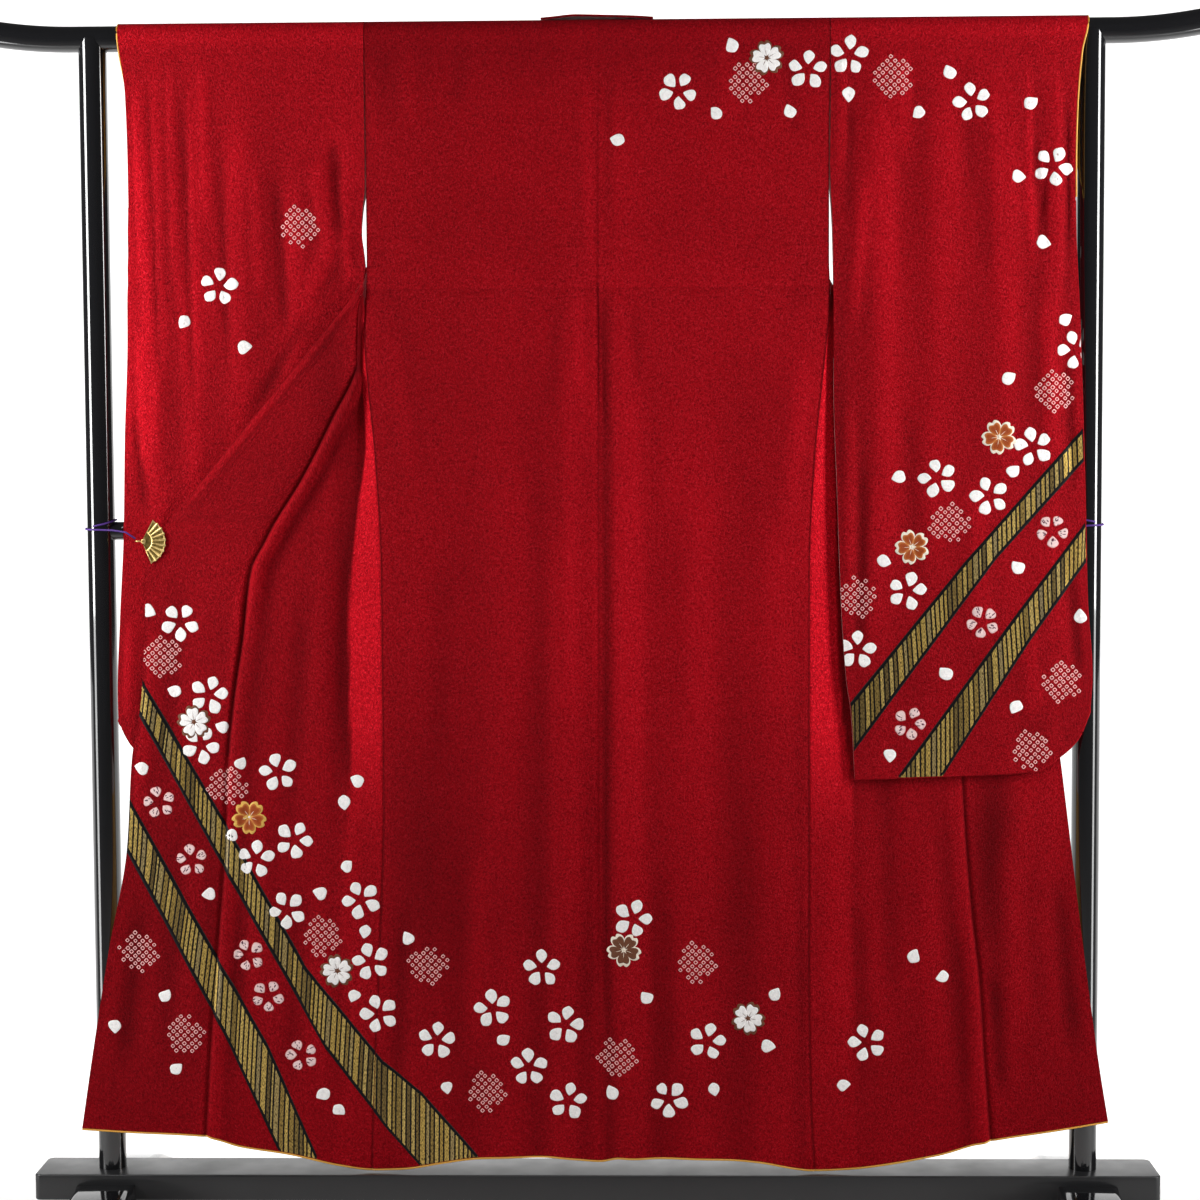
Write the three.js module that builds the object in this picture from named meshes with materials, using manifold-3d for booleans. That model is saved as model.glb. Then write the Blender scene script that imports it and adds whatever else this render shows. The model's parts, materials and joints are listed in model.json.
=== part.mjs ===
import * as THREE from 'three';
import { mergeVertices } from 'three/addons/utils/BufferGeometryUtils.js';
import Module from 'manifold-3d';

// A furisode kimono hung over the top rail of a lacquered kimono stand.
// Millimetres, +Z up. The floor is z = 0 and the stand is centred on x = 0
// and y = 0. The back of the garment faces -Y, so its left is at -X. The back
// panels and the near halves of the sleeves hang on the -Y side of the rail.
// The fronts hang on the far side, turn round the side seams below the arm
// slits, and spread out sideways to the two clips that hold them.

// ---- Driving dimensions ----

const seamGap = 0.3;
const clothThickness = 2;
const collarThickness = 3;
const liningThickness = 1;
const hemLiningHeight = 28;
const hemLiningShows = 3;
const cuffLiningShows = 2;
const cuffBottom = 1445;

const railHeight = 1672.7;
const railRadius = 17.5;
const railStraight = 700;
const railBendRadius = 690;
const railBendAngle = 0.3;
const uprightX = 674;
const uprightRadius = 19;
const midRailHeight = 1007;
const midRailRadius = 11;
const boardLength = 1549;
const boardDepth = 79;
const boardTop = 120;
const boardThickness = 36;
const boardCornerRadius = 9;
const footWidth = 80;
const footLength = 560;
const footTop = 107;
const footTipHeight = 34;

const clipRadius = 33;
const clipRibs = 9;
const clipPivotLeft = { x: -611.5, y: -29.3, z: 993.5 };
const clipPivotRight = { x: 622, y: -13.2, z: 958 };
const ringRadius = 4.4;
const ringWire = 1.1;
const cordDiameter = 2.5;

// The cloth runs over the rail at this radius, measured to its middle.
const ridgeRadius = railRadius + 0.8 + clothThickness / 2;
const railShare = 0.06;

// ---- Tables: each row is one height (z) or one place across (x or u) ----

// The back: its two side seams, its centre seam and how far it hangs forward.
const backRows = [
  { z: 1672.7, left: -303, centre: 12, right: 323, depth: -19.3 },
  { z: 1498, left: -302, centre: 11, right: 321, depth: -20.5 },
  { z: 1361, left: -302, centre: 10, right: 321, depth: -20.8 },
  { z: 1306, left: -304.6, centre: 10, right: 321, depth: -21 },
  { z: 1259, left: -305, centre: 10, right: 317, depth: -21.2 },
  { z: 1203, left: -301, centre: 10, right: 311, depth: -21.4 },
  { z: 1101, left: -292, centre: 9.5, right: 301, depth: -21.7 },
  { z: 945, left: -285.5, centre: 9, right: 294, depth: -22.2 },
  { z: 640, left: -286, centre: 8, right: 294, depth: -23 },
  { z: 430, left: -294, centre: 7, right: 294, depth: -24 },
  { z: 221, left: -305, centre: 7, right: 297, depth: -25 },
  { z: 125, left: -308, centre: 7, right: 302, depth: -26 },
];

// Soft folds that stand out from the back towards -Y.
const backFolds = [
  { top: -215, hem: -228, start: 1250, width: 40, depth: 7 },
  { top: -112, hem: -120, start: 1500, width: 44, depth: 5 },
  { top: -34, hem: -46, start: 1320, width: 24, depth: 7 },
  { top: 44, hem: 54, start: 1420, width: 26, depth: 8 },
  { top: 152, hem: 148, start: 1350, width: 42, depth: 5 },
  { top: 250, hem: 244, start: 1250, width: 36, depth: 7 },
];

// The lowest line of the whole garment, the edge of its hem lining.
const hemLine = [
  { x: -712, z: 180 },
  { x: -650, z: 176 },
  { x: -539, z: 170 },
  { x: -491, z: 156 },
  { x: -422, z: 145 },
  { x: -352, z: 129 },
  { x: -306, z: 122.5 },
  { x: -269, z: 124 },
  { x: -214, z: 133 },
  { x: -145, z: 140 },
  { x: -62, z: 142 },
  { x: 7, z: 135 },
  { x: 35, z: 140 },
  { x: 145, z: 139 },
  { x: 227, z: 135 },
  { x: 302, z: 122.5 },
  { x: 351, z: 125 },
  { x: 470, z: 144 },
  { x: 536, z: 163 },
  { x: 638, z: 179 },
  { x: 710, z: 191 },
];

// Left sleeve: the edge beside the body, the outer edge, the depth of its
// near half, and how far the far half stands behind that.
const leftSleeveRows = [
  { z: 1692, inner: -303.5, outer: -636, depth: -19.3, open: 36.3 },
  { z: 1672.7, inner: -303.5, outer: -635, depth: -19.3, open: 36.3 },
  { z: 1593, inner: -303.4, outer: -626, depth: -19.9, open: 31 },
  { z: 1498, inner: -303, outer: -624, depth: -20.4, open: 23 },
  { z: 1445, inner: -308.5, outer: -624, depth: -20.4, open: 17 },
  { z: 1385, inner: -309, outer: -625, depth: -20.4, open: 11 },
  { z: 1345, inner: -312, outer: -626, depth: -20.4, open: 7 },
  { z: 1325, inner: -320, outer: -627, depth: -20.4, open: 5.5 },
  { z: 1261, inner: -322, outer: -628, depth: -20.3, open: 4 },
  { z: 1131, inner: -322, outer: -634, depth: -20.2, open: 3 },
  { z: 1001, inner: -322, outer: -638, depth: -20, open: 2.2 },
  { z: 887, inner: -322, outer: -645, depth: -20, open: 2 },
  { z: 782, inner: -322, outer: -650, depth: -20, open: 1.8 },
  { z: 668, inner: -322, outer: -648, depth: -20, open: 1.6 },
];

const rightSleeveRows = [
  { z: 1692, inner: 323.5, outer: 667, depth: -19.3, open: 36.3 },
  { z: 1672.7, inner: 323.5, outer: 664, depth: -19.3, open: 36.3 },
  { z: 1642, inner: 323.4, outer: 657, depth: -19.7, open: 34 },
  { z: 1557, inner: 322.7, outer: 649, depth: -20.4, open: 28 },
  { z: 1498, inner: 321.9, outer: 647, depth: -21, open: 23 },
  { z: 1407, inner: 327, outer: 649, depth: -22, open: 12 },
  { z: 1303, inner: 327, outer: 656, depth: -23.5, open: 4.5 },
  { z: 1203, inner: 327, outer: 660, depth: -25.5, open: 3 },
  { z: 1049, inner: 332, outer: 665, depth: -28, open: 2.2 },
  { z: 910, inner: 337, outer: 669, depth: -29, open: 2 },
  { z: 805, inner: 344, outer: 676, depth: -29.6, open: 1.8 },
  { z: 754, inner: 351, outer: 673, depth: -30, open: 1.7 },
  { z: 666, inner: 356, outer: 669, depth: -30.5, open: 1.6 },
];

// The bottom edge of a sleeve, from beside the body to its round outer corner.
const leftSleeveBottom = [
  { u: 0, z: 668 },
  { u: 0.4, z: 670 },
  { u: 0.77, z: 676 },
  { u: 0.88, z: 692 },
  { u: 0.95, z: 714 },
  { u: 1, z: 746 },
];

const rightSleeveBottom = [
  { u: 0, z: 666 },
  { u: 0.39, z: 670 },
  { u: 0.77, z: 676 },
  { u: 0.885, z: 697 },
  { u: 0.96, z: 722 },
  { u: 1, z: 757 },
];

const leftSleeveFolds = [
  { top: -588, hem: -592, start: 1660, width: 15, depth: 3 },
  { top: -540, hem: -545, start: 1660, width: 13, depth: 2.5 },
  { top: -470, hem: -500, start: 1640, width: 20, depth: 3 },
  { top: -395, hem: -420, start: 1560, width: 18, depth: 2.5 },
];

const rightSleeveFolds = [
  { top: 395, hem: 392, start: 1640, width: 20, depth: 3 },
  { top: 470, hem: 476, start: 1660, width: 26, depth: 2.5 },
  { top: 560, hem: 566, start: 1620, width: 22, depth: 3 },
  { top: 618, hem: 628, start: 1500, width: 14, depth: 2.5 },
];

// The fronts. Each row gives the side seam, the seam of front and overlap
// (okumi), and the free edge of the collar, with their depths. Above the slit
// the front hangs behind the rail. In the slit it narrows and turns about the
// side seam. Below it the front spreads sideways.
const leftFrontRows = [
  { z: 1672.7, seamX: -303, seamY: 19.3, okumiX: -112, okumiY: 19.3, edgeX: -66, edgeY: 19.3 },
  { z: 1600, seamX: -302.8, seamY: 13.9, okumiX: -160, okumiY: 19.3, edgeX: -116, edgeY: 19.3 },
  { z: 1498, seamX: -302.2, seamY: 4.8, okumiX: -227, okumiY: 17, edgeX: -189, edgeY: 19 },
  { z: 1440, seamX: -302.7, seamY: 2.5, okumiX: -266, okumiY: 11, edgeX: -234, edgeY: 14 },
  { z: 1400, seamX: -303, seamY: 1, okumiX: -288, okumiY: 3, edgeX: -266, edgeY: 3 },
  { z: 1370, seamX: -303.2, seamY: -1, okumiX: -300, okumiY: -5.5, edgeX: -296, edgeY: -10 },
  { z: 1355, seamX: -303.4, seamY: -3, okumiX: -303.8, okumiY: -9.5, edgeX: -304.4, edgeY: -16 },
  { z: 1345, seamX: -304.2, seamY: -6, okumiX: -304.8, okumiY: -13.5, edgeX: -306, edgeY: -21.5 },
  { z: 1336, seamX: -304.7, seamY: -9.5, okumiX: -306.4, okumiY: -18, edgeX: -310, edgeY: -26.5 },
  { z: 1325, seamX: -305.2, seamY: -14, okumiX: -309, okumiY: -22, edgeX: -319, edgeY: -27.5 },
  { z: 1310, seamX: -305.6, seamY: -18.5, okumiX: -312.5, okumiY: -25.4, edgeX: -330, edgeY: -27.5 },
  { z: 1290, seamX: -305.8, seamY: -21.1, okumiX: -314, okumiY: -25.6, edgeX: -347, edgeY: -27.5 },
  { z: 1237, seamX: -305, seamY: -21.2, okumiX: -316, okumiY: -25.6, edgeX: -392, edgeY: -27.5 },
  { z: 1156, seamX: -297, seamY: -21.5, okumiX: -352, okumiY: -25.6, edgeX: -461, edgeY: -27.5 },
  { z: 1076, seamX: -290, seamY: -21.8, okumiX: -394, okumiY: -25.6, edgeX: -528, edgeY: -27.5 },
  { z: 1016, seamX: -288, seamY: -22, okumiX: -432, okumiY: -25.6, edgeX: -579, edgeY: -27.5 },
  { z: 990, seamX: -287, seamY: -22.1, okumiX: -446, okumiY: -25.6, edgeX: -600, edgeY: -27.2 },
  { z: 954, seamX: -286, seamY: -22.2, okumiX: -464, okumiY: -25.6, edgeX: -606, edgeY: -27 },
  { z: 859, seamX: -286, seamY: -22.4, okumiX: -477, okumiY: -25.6, edgeX: -611, edgeY: -27 },
  { z: 777, seamX: -286, seamY: -22.6, okumiX: -490, okumiY: -25.8, edgeX: -617, edgeY: -27 },
  { z: 695, seamX: -286, seamY: -23, okumiX: -499, okumiY: -26, edgeX: -631, edgeY: -27 },
  { z: 571, seamX: -287, seamY: -23.3, okumiX: -505, okumiY: -26.5, edgeX: -640, edgeY: -27.5 },
  { z: 433, seamX: -294, seamY: -24, okumiX: -517, okumiY: -27, edgeX: -667, edgeY: -28 },
  { z: 293, seamX: -301, seamY: -24.6, okumiX: -529, okumiY: -28, edgeX: -691, edgeY: -29 },
  { z: 173, seamX: -307, seamY: -25.6, okumiX: -537, okumiY: -29, edgeX: -710, edgeY: -30 },
];

const rightFrontRows = [
  { z: 1672.7, seamX: 323, seamY: 19.3, okumiX: 132, okumiY: 19.3, edgeX: 86, edgeY: 19.3 },
  { z: 1600, seamX: 322.3, seamY: 14.3, okumiX: 179, okumiY: 19.3, edgeX: 135, edgeY: 19.3 },
  { z: 1498, seamX: 321.1, seamY: 4.3, okumiX: 244, okumiY: 18, edgeX: 206, edgeY: 20 },
  { z: 1440, seamX: 321.4, seamY: 1, okumiX: 284, okumiY: 15, edgeX: 251, edgeY: 19 },
  { z: 1400, seamX: 321.4, seamY: -2, okumiX: 306, okumiY: 11, edgeX: 284, edgeY: 17 },
  { z: 1370, seamX: 321.4, seamY: -6, okumiX: 316, okumiY: 6, edgeX: 308, edgeY: 14.5 },
  { z: 1345, seamX: 321.9, seamY: -11, okumiX: 321.5, okumiY: 0, edgeX: 323, edgeY: 9 },
  { z: 1325, seamX: 322, seamY: -16, okumiX: 324.5, okumiY: -4, edgeX: 333, edgeY: 4 },
  { z: 1310, seamX: 321.9, seamY: -19.5, okumiX: 327, okumiY: -6.5, edgeX: 345, edgeY: -1 },
  { z: 1290, seamX: 320.6, seamY: -21.1, okumiX: 330, okumiY: -8.5, edgeX: 364, edgeY: -6 },
  { z: 1237, seamX: 315, seamY: -21.3, okumiX: 336, okumiY: -9.5, edgeX: 408, edgeY: -9 },
  { z: 1156, seamX: 307, seamY: -21.5, okumiX: 368, okumiY: -11.5, edgeX: 477, edgeY: -11.5 },
  { z: 1076, seamX: 299, seamY: -21.8, okumiX: 410, okumiY: -13.5, edgeX: 544, edgeY: -13.5 },
  { z: 1016, seamX: 296, seamY: -22, okumiX: 446, okumiY: -14.8, edgeX: 594, edgeY: -14.8 },
  { z: 954, seamX: 294, seamY: -22.2, okumiX: 474, okumiY: -15.2, edgeX: 617, edgeY: -15.2 },
  { z: 859, seamX: 294, seamY: -22.4, okumiX: 488, okumiY: -17, edgeX: 620, edgeY: -17 },
  { z: 777, seamX: 294, seamY: -22.6, okumiX: 496, okumiY: -20, edgeX: 625, edgeY: -20 },
  { z: 665, seamX: 294, seamY: -23, okumiX: 503, okumiY: -22.5, edgeX: 639, edgeY: -22.5 },
  { z: 593, seamX: 294, seamY: -23.2, okumiX: 507, okumiY: -23.4, edgeX: 648, edgeY: -23.4 },
  { z: 488, seamX: 294, seamY: -23.7, okumiX: 516, okumiY: -24, edgeX: 661, edgeY: -24 },
  { z: 381, seamX: 294, seamY: -24.2, okumiX: 528, okumiY: -25, edgeX: 675, edgeY: -25 },
  { z: 275, seamX: 296, seamY: -24.8, okumiX: 535, okumiY: -26, edgeX: 690, edgeY: -26 },
  { z: 160, seamX: 301, seamY: -25.7, okumiX: 544, okumiY: -27, edgeX: 709, edgeY: -27 },
];

// The roll of cloth that stands out beside each okumi seam.
const leftRoll = [
  { z: 1310, depth: 0 },
  { z: 1156, depth: 8 },
  { z: 954, depth: 8 },
  { z: 859, depth: 4.5 },
  { z: 173, depth: 3 },
];

const rightRoll = [
  { z: 700, depth: 0 },
  { z: 560, depth: 3 },
  { z: 160, depth: 5 },
];

// The collar's width across, from the slit down to the clip.
const collarWidth = [
  { z: 1325, across: 9.5 },
  { z: 1316, across: 10.5 },
  { z: 1290, across: 14 },
  { z: 1237, across: 21 },
  { z: 1020, across: 23 },
];
const collarEnd = 1025.5;
const okumiShoulder = 1015;
const collarGap = 0.7;
const okumiTop = 1316;

// The hump of the collar at the back of the neck: its height over the cloth.
const neckHump = [
  { x: -66, lift: 0 },
  { x: -48, lift: 1.6 },
  { x: -20, lift: 4.2 },
  { x: 12, lift: 3.4 },
  { x: 60, lift: 1.8 },
  { x: 86, lift: 0 },
];
const neckLeft = -65.7;
const neckRight = 85.7;
const neckCollarDrop = 42;

// One turn of cord round an upright: it climbs over the middle rail.
const cordTurn = [
  { turn: 0, z: 1009 },
  { turn: 0.25, z: 1010 },
  { turn: 0.5, z: 1016 },
  { turn: 0.75, z: 1022.5 },
  { turn: 1, z: 1016 },
  { turn: 1.08, z: 1014 },
];

// ---- Small tools ----

const mix = (a, b, t) => a + (b - a) * t;
const clamp01 = (t) => Math.min(Math.max(t, 0), 1);
const smooth = (t) => clamp01(t) * clamp01(t) * (3 - 2 * clamp01(t));
const steps = (count) => Array.from({ length: count + 1 }, (_, i) => i / count);

// A curve through one column of a table, with no overshoot between its rows.
function curveOf(table, key, column) {
  const at = table.map((row) => row[key]);
  const value = table.map((row) => row[column]);
  const rise = at.slice(1).map((next, i) => (value[i + 1] - value[i]) / (next - at[i]));
  const slope = value.map((_, i) => {
    if (i === 0 || i === value.length - 1) return rise[Math.min(i, rise.length - 1)];
    if (rise[i - 1] * rise[i] <= 0) return 0;
    return (2 * rise[i - 1] * rise[i]) / (rise[i - 1] + rise[i]);
  });
  const down = at[1] < at[0];
  return (place) => {
    let i = 0;
    while (i < at.length - 2 && (down ? place < at[i + 1] : place > at[i + 1])) i += 1;
    const span = at[i + 1] - at[i];
    const t = clamp01((place - at[i]) / span);
    const start = (1 + 2 * t) * (1 - t) * (1 - t);
    const end = t * t * (3 - 2 * t);
    const leave = t * (1 - t) * (1 - t) * span * slope[i];
    const arrive = t * t * (t - 1) * span * slope[i + 1];
    return start * value[i] + end * value[i + 1] + leave + arrive;
  };
}

const curvesOf = (table, key, columns) =>
  Object.fromEntries(columns.map((column) => [column, curveOf(table, key, column)]));

// How far soft folds stand out at one place of a panel.
function foldDepth(folds, x, z) {
  return folds.reduce((sum, fold) => {
    const line = mix(fold.top, fold.hem, clamp01((railHeight - z) / railHeight));
    const grown = smooth((fold.start - z) / 500);
    return sum + fold.depth * grown * Math.exp(-(((x - line) / fold.width) ** 2));
  }, 0);
}

// Points of a cloth's middle that run over the rail and then hang down.
// side is -1 for the near side and 1 for the far side.
function overRail(v, side, bottom) {
  const first = seamGap / 2 / ridgeRadius;
  if (v < railShare) {
    const turn = mix(first, Math.PI / 2, v / railShare);
    const y = side * ridgeRadius * Math.sin(turn);
    return { z: railHeight + ridgeRadius * Math.cos(turn), y, hangs: false };
  }
  const t = (v - railShare) / (1 - railShare);
  return { z: mix(railHeight, bottom, t), y: 0, hangs: true };
}

// The heights (v) at which a hanging panel is divided: the turn over the rail
// in four steps, then the given shares of the drop.
function hangingRows(dropShares) {
  const over = steps(4).slice(0, -1).map((t) => t * railShare);
  return [...over, ...dropShares.map((t) => railShare + t * (1 - railShare))];
}

// A closed wall on both sides of a middle surface (u, v) -> Vector3.
function clothWall(surface, columns, rows, thickness) {
  const small = 1e-3;
  const across = (u, v) => {
    const low = surface(Math.max(u - small, 0), v);
    return surface(Math.min(u + small, 1), v).sub(low);
  };
  const down = (u, v) => {
    const low = surface(u, Math.max(v - small, 0));
    return surface(u, Math.min(v + small, 1)).sub(low);
  };
  const points = [];
  for (const side of [1, -1]) {
    for (const v of rows) {
      for (const u of columns) {
        const normal = across(u, v).cross(down(u, v)).normalize();
        const point = surface(u, v).addScaledVector(normal, (side * thickness) / 2);
        points.push(point.x, point.y, point.z);
      }
    }
  }
  const wide = columns.length;
  const tall = rows.length;
  const front = (i, j) => j * wide + i;
  const back = (i, j) => wide * tall + j * wide + i;
  const index = [];
  const quad = (a, b, c, d) => index.push(a, b, c, a, c, d);
  for (let j = 0; j < tall - 1; j += 1) {
    for (let i = 0; i < wide - 1; i += 1) {
      quad(front(i, j), front(i + 1, j), front(i + 1, j + 1), front(i, j + 1));
      quad(back(i, j), back(i, j + 1), back(i + 1, j + 1), back(i + 1, j));
    }
  }
  for (let i = 0; i < wide - 1; i += 1) {
    quad(front(i, 0), back(i, 0), back(i + 1, 0), front(i + 1, 0));
    quad(front(i, tall - 1), front(i + 1, tall - 1), back(i + 1, tall - 1), back(i, tall - 1));
  }
  for (let j = 0; j < tall - 1; j += 1) {
    quad(front(0, j), front(0, j + 1), back(0, j + 1), back(0, j));
    quad(front(wide - 1, j), back(wide - 1, j), back(wide - 1, j + 1), front(wide - 1, j + 1));
  }
  const geometry = new THREE.BufferGeometry();
  geometry.setAttribute('position', new THREE.Float32BufferAttribute(points, 3));
  geometry.setIndex(index);
  geometry.computeVertexNormals();
  return geometry;
}

// ---- Joining and cutting solids ----

const wasm = await Module();
wasm.setup();

function solidOf(geometry) {
  const bare = geometry.clone();
  bare.deleteAttribute('normal');
  bare.deleteAttribute('uv');
  const merged = mergeVertices(bare, 1e-4);
  return new wasm.Manifold(new wasm.Mesh({
    numProp: 3,
    vertProperties: new Float32Array(merged.getAttribute('position').array),
    triVerts: new Uint32Array(merged.getIndex().array),
  }));
}

function geometryOf(solid) {
  const mesh = solid.getMesh();
  const geometry = new THREE.BufferGeometry();
  geometry.setAttribute('position', new THREE.Float32BufferAttribute(mesh.vertProperties, 3));
  geometry.setIndex(Array.from(mesh.triVerts));
  geometry.computeVertexNormals();
  return geometry;
}

// ---- Materials ----

const paint = (color, roughness, metalness = 0) =>
  new THREE.MeshStandardMaterial({ color, roughness, metalness });

const crepe = paint(0xa80d1c, 0.72);
const hemLining = paint(0xc98a1e, 0.6);
const lacquer = paint(0x08080a, 0.12);
const boardLacquer = paint(0x1b1b1e, 0.4);
const gold = paint(0xc9a24a, 0.3, 1);
const cordSilk = paint(0x4b2a86, 0.6);

const group = new THREE.Group();

function add(name, geometry, material) {
  const mesh = new THREE.Mesh(geometry, material);
  mesh.name = name;
  group.add(mesh);
  return mesh;
}

// ---- The back ----

const back = curvesOf(backRows, 'z', ['left', 'centre', 'right', 'depth']);
const hemAt = curveOf(hemLine, 'x', 'z');
const backDepth = (x, z) => back.depth(z) - foldDepth(backFolds, x, z);

// lift raises the bottom edge of a panel over the lowest line of the garment.
function backPanel(fromEdge, toEdge, lift) {
  return (u, v) => {
    const hem = hemAt(mix(fromEdge(130), toEdge(130), u)) + lift;
    const place = overRail(v, -1, hem);
    const x = mix(fromEdge(place.z), toEdge(place.z), u);
    const y = place.hangs ? backDepth(x, place.z) : place.y;
    return new THREE.Vector3(x, y, place.z);
  };
}

// The back, the fronts, the okumi and the collar share these shares of the drop
// from rail to hem, so that their seams run side by side.
const bodyDrop = [0, 0.05, 0.1, 0.14, 0.17, 0.193, 0.204, 0.213, 0.221, 0.23, 0.245, 0.27,
  0.31, 0.355, 0.4, 0.4353, 0.445, 0.475, 0.51, 0.58, 0.66, 0.74, 0.83, 0.915, 1];
const bodyRows = hangingRows(bodyDrop);

const centreLeft = (z) => back.centre(z) - seamGap / 2;
const centreRight = (z) => back.centre(z) + seamGap / 2;
const backLeft = backPanel(back.left, centreLeft, hemLiningShows);
const backRight = backPanel(centreRight, back.right, hemLiningShows);

add('back_left', clothWall(backLeft, steps(9), bodyRows, clothThickness), crepe);
add('back_right', clothWall(backRight, steps(9), bodyRows, clothThickness), crepe);

// ---- The sleeves ----

function sleeve(rows, bottomRows, folds, side) {
  const edge = curvesOf(rows, 'z', ['inner', 'outer', 'depth', 'open']);
  const bottomAt = curveOf(bottomRows, 'u', 'z');
  return (u, v) => {
    const bottom = bottomAt(u);
    const place = overRail(v, side, bottom);
    const x = mix(edge.inner(place.z), edge.outer(place.z), u);
    if (!place.hangs) return new THREE.Vector3(x, place.y, place.z);
    const near = edge.depth(place.z) - sleeveFold(folds, x, place.z);
    if (side < 0) return new THREE.Vector3(x, near, place.z);
    const sewnEdge = smooth((1 - u) / 0.2);
    const openEdge = smooth((place.z - cuffBottom) / 60);
    const sewnBottom = smooth((place.z - bottom) / 60);
    const apart = edge.open(place.z) * Math.max(sewnEdge, openEdge) * sewnBottom;
    return new THREE.Vector3(x, near + clothThickness + seamGap + apart, place.z);
  };
}

// A sleeve's folds are deepest below the rail and almost gone at its bottom.
function sleeveFold(folds, x, z) {
  const fade = mix(0.3, 1, smooth((z - 1000) / 450));
  const grown = smooth((railHeight - z) / 160);
  return fade * grown * foldDepth(folds.map((fold) => ({ ...fold, start: fold.start + 300 })), x, z);
}

const sleeveColumns = [0, 0.14, 0.28, 0.42, 0.56, 0.68, 0.78, 0.86, 0.94, 1];
const sleeveRows = hangingRows(steps(13));
const mirrored = (surface) => (u, v) => surface(1 - u, v);
const sleeves = {
  sleeve_left_back: mirrored(sleeve(leftSleeveRows, leftSleeveBottom, leftSleeveFolds, -1)),
  sleeve_left_front: sleeve(leftSleeveRows, leftSleeveBottom, leftSleeveFolds, 1),
  sleeve_right_back: sleeve(rightSleeveRows, rightSleeveBottom, rightSleeveFolds, -1),
  sleeve_right_front: mirrored(sleeve(rightSleeveRows, rightSleeveBottom, rightSleeveFolds, 1)),
};
for (const [name, surface] of Object.entries(sleeves)) {
  const turned = name === 'sleeve_left_back' || name === 'sleeve_right_front';
  const columns = turned ? sleeveColumns.map((u) => 1 - u).reverse() : sleeveColumns;
  add(name, clothWall(surface, columns, sleeveRows, clothThickness), crepe);
}

// ---- The fronts, the okumi overlaps and the collar ----

function frontLines(rows, backEdge, outward) {
  const columns = ['seamX', 'seamY', 'okumiX', 'okumiY', 'edgeX', 'edgeY'];
  const line = curvesOf(rows, 'z', columns);
  const across = curveOf(collarWidth, 'z', 'across');
  const sewn = (z) => smooth((1325 - z) / 38);
  const seam = (z) => {
    const x = backEdge(z) + outward * seamGap;
    return {
      x: mix(line.seamX(z), x, sewn(z)),
      y: mix(line.seamY(z), backDepth(backEdge(z), z), sewn(z)),
    };
  };
  const okumi = (z) => ({ x: line.okumiX(z), y: line.okumiY(z) });
  const edge = (z) => ({ x: line.edgeX(z), y: line.edgeY(z) });
  // Where the collar is sewn on: to the front above the okumi, and then to it.
  const collarSeam = (z) => {
    const near = { x: line.edgeX(z) - outward * across(z), y: line.edgeY(z) + 0.5 };
    const onOkumi = smooth((1336 - z) / 18);
    return { x: mix(line.okumiX(z), near.x, onOkumi), y: mix(line.okumiY(z), near.y, onOkumi) };
  };
  return { seam, okumi, edge, collarSeam };
}

const leftLines = frontLines(leftFrontRows, back.left, -1);
const rightLines = frontLines(rightFrontRows, back.right, 1);

// Which way a front runs from its side seam below the slit.
const outwardOf = (lines) => Math.sign(lines.okumi(700).x - lines.seam(700).x);

// A front: straight from seam to seam behind the rail, and below the slit a
// quick step from the side seam to its own depth, with a roll at the okumi.
function frontPanel(lines, rollRows, lift) {
  const rollDepth = curveOf(rollRows, 'z', 'depth');
  const outward = outwardOf(lines);
  const hemOf = (u) => hemAt(mix(lines.seam(130).x, lines.okumi(130).x, u)) + lift;
  return (u, v) => {
    const place = overRail(v, 1, hemOf(u));
    const seam = lines.seam(place.z);
    const okumi = lines.okumi(place.z);
    const x = mix(seam.x, okumi.x - (outward * seamGap) / 2, u);
    if (!place.hangs) return new THREE.Vector3(x, place.y, place.z);
    const width = Math.abs(okumi.x - seam.x) + 1e-6;
    const quick = smooth((u * width) / Math.min(width, 18));
    const below = smooth((1345 - place.z) / 60);
    const fromOkumi = (1 - u) * width;
    const inside = smooth(fromOkumi / 12) * smooth((u * width) / 14);
    const bulge = inside * Math.exp(-(((fromOkumi - 14) / 10) ** 2));
    const roll = rollDepth(place.z) * below * bulge;
    const y = mix(seam.y, okumi.y, mix(u, quick, below)) - roll;
    return new THREE.Vector3(x, y, place.z);
  };
}

// An okumi hangs from its narrow top in the slit down to the hem.
function okumiPanel(lines, lift) {
  const outward = outwardOf(lines);
  const hemOf = (u) => hemAt(mix(lines.okumi(150).x, lines.edge(150).x, u)) + lift;
  return (u, v) => {
    const z = mix(okumiTop, hemOf(u), v);
    const from = lines.okumi(z);
    const sewn = lines.collarSeam(z);
    const free = lines.edge(z);
    const toFree = smooth((okumiShoulder - z) / 12);
    const endX = mix(sewn.x - outward * collarGap, free.x, toFree);
    const x = mix(from.x + outward * seamGap * 1.5, endX, u);
    const y = mix(from.y, mix(sewn.y, free.y, toFree), u);
    return new THREE.Vector3(x, y, z);
  };
}

// The collar from the neck to the clip.
function collarSide(lines) {
  return (u, v) => {
    const place = overRail(v, 1, collarEnd);
    const seam = lines.collarSeam(place.z);
    const edge = lines.edge(place.z);
    const width = Math.hypot(edge.x - seam.x, edge.y - seam.y);
    const along = mix(collarGap / width, 1, u);
    const y = place.hangs ? mix(seam.y, edge.y, along) : place.y;
    return new THREE.Vector3(mix(seam.x, edge.x, along), y, place.z);
  };
}

const frontColumns = [0, 0.04, 0.1, 0.2, 0.34, 0.5, 0.66, 0.8, 0.88, 0.94, 1];

// The same heights as the body's, counted along a shorter piece of the drop.
function sharedRows(hem, top, bottom) {
  const heights = bodyDrop.map((t) => mix(railHeight, hem, t));
  const inside = heights.filter((z) => z < top - 2 && z > bottom + 2);
  return [top, ...inside, bottom].map((z) => (top - z) / (top - bottom));
}

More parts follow.
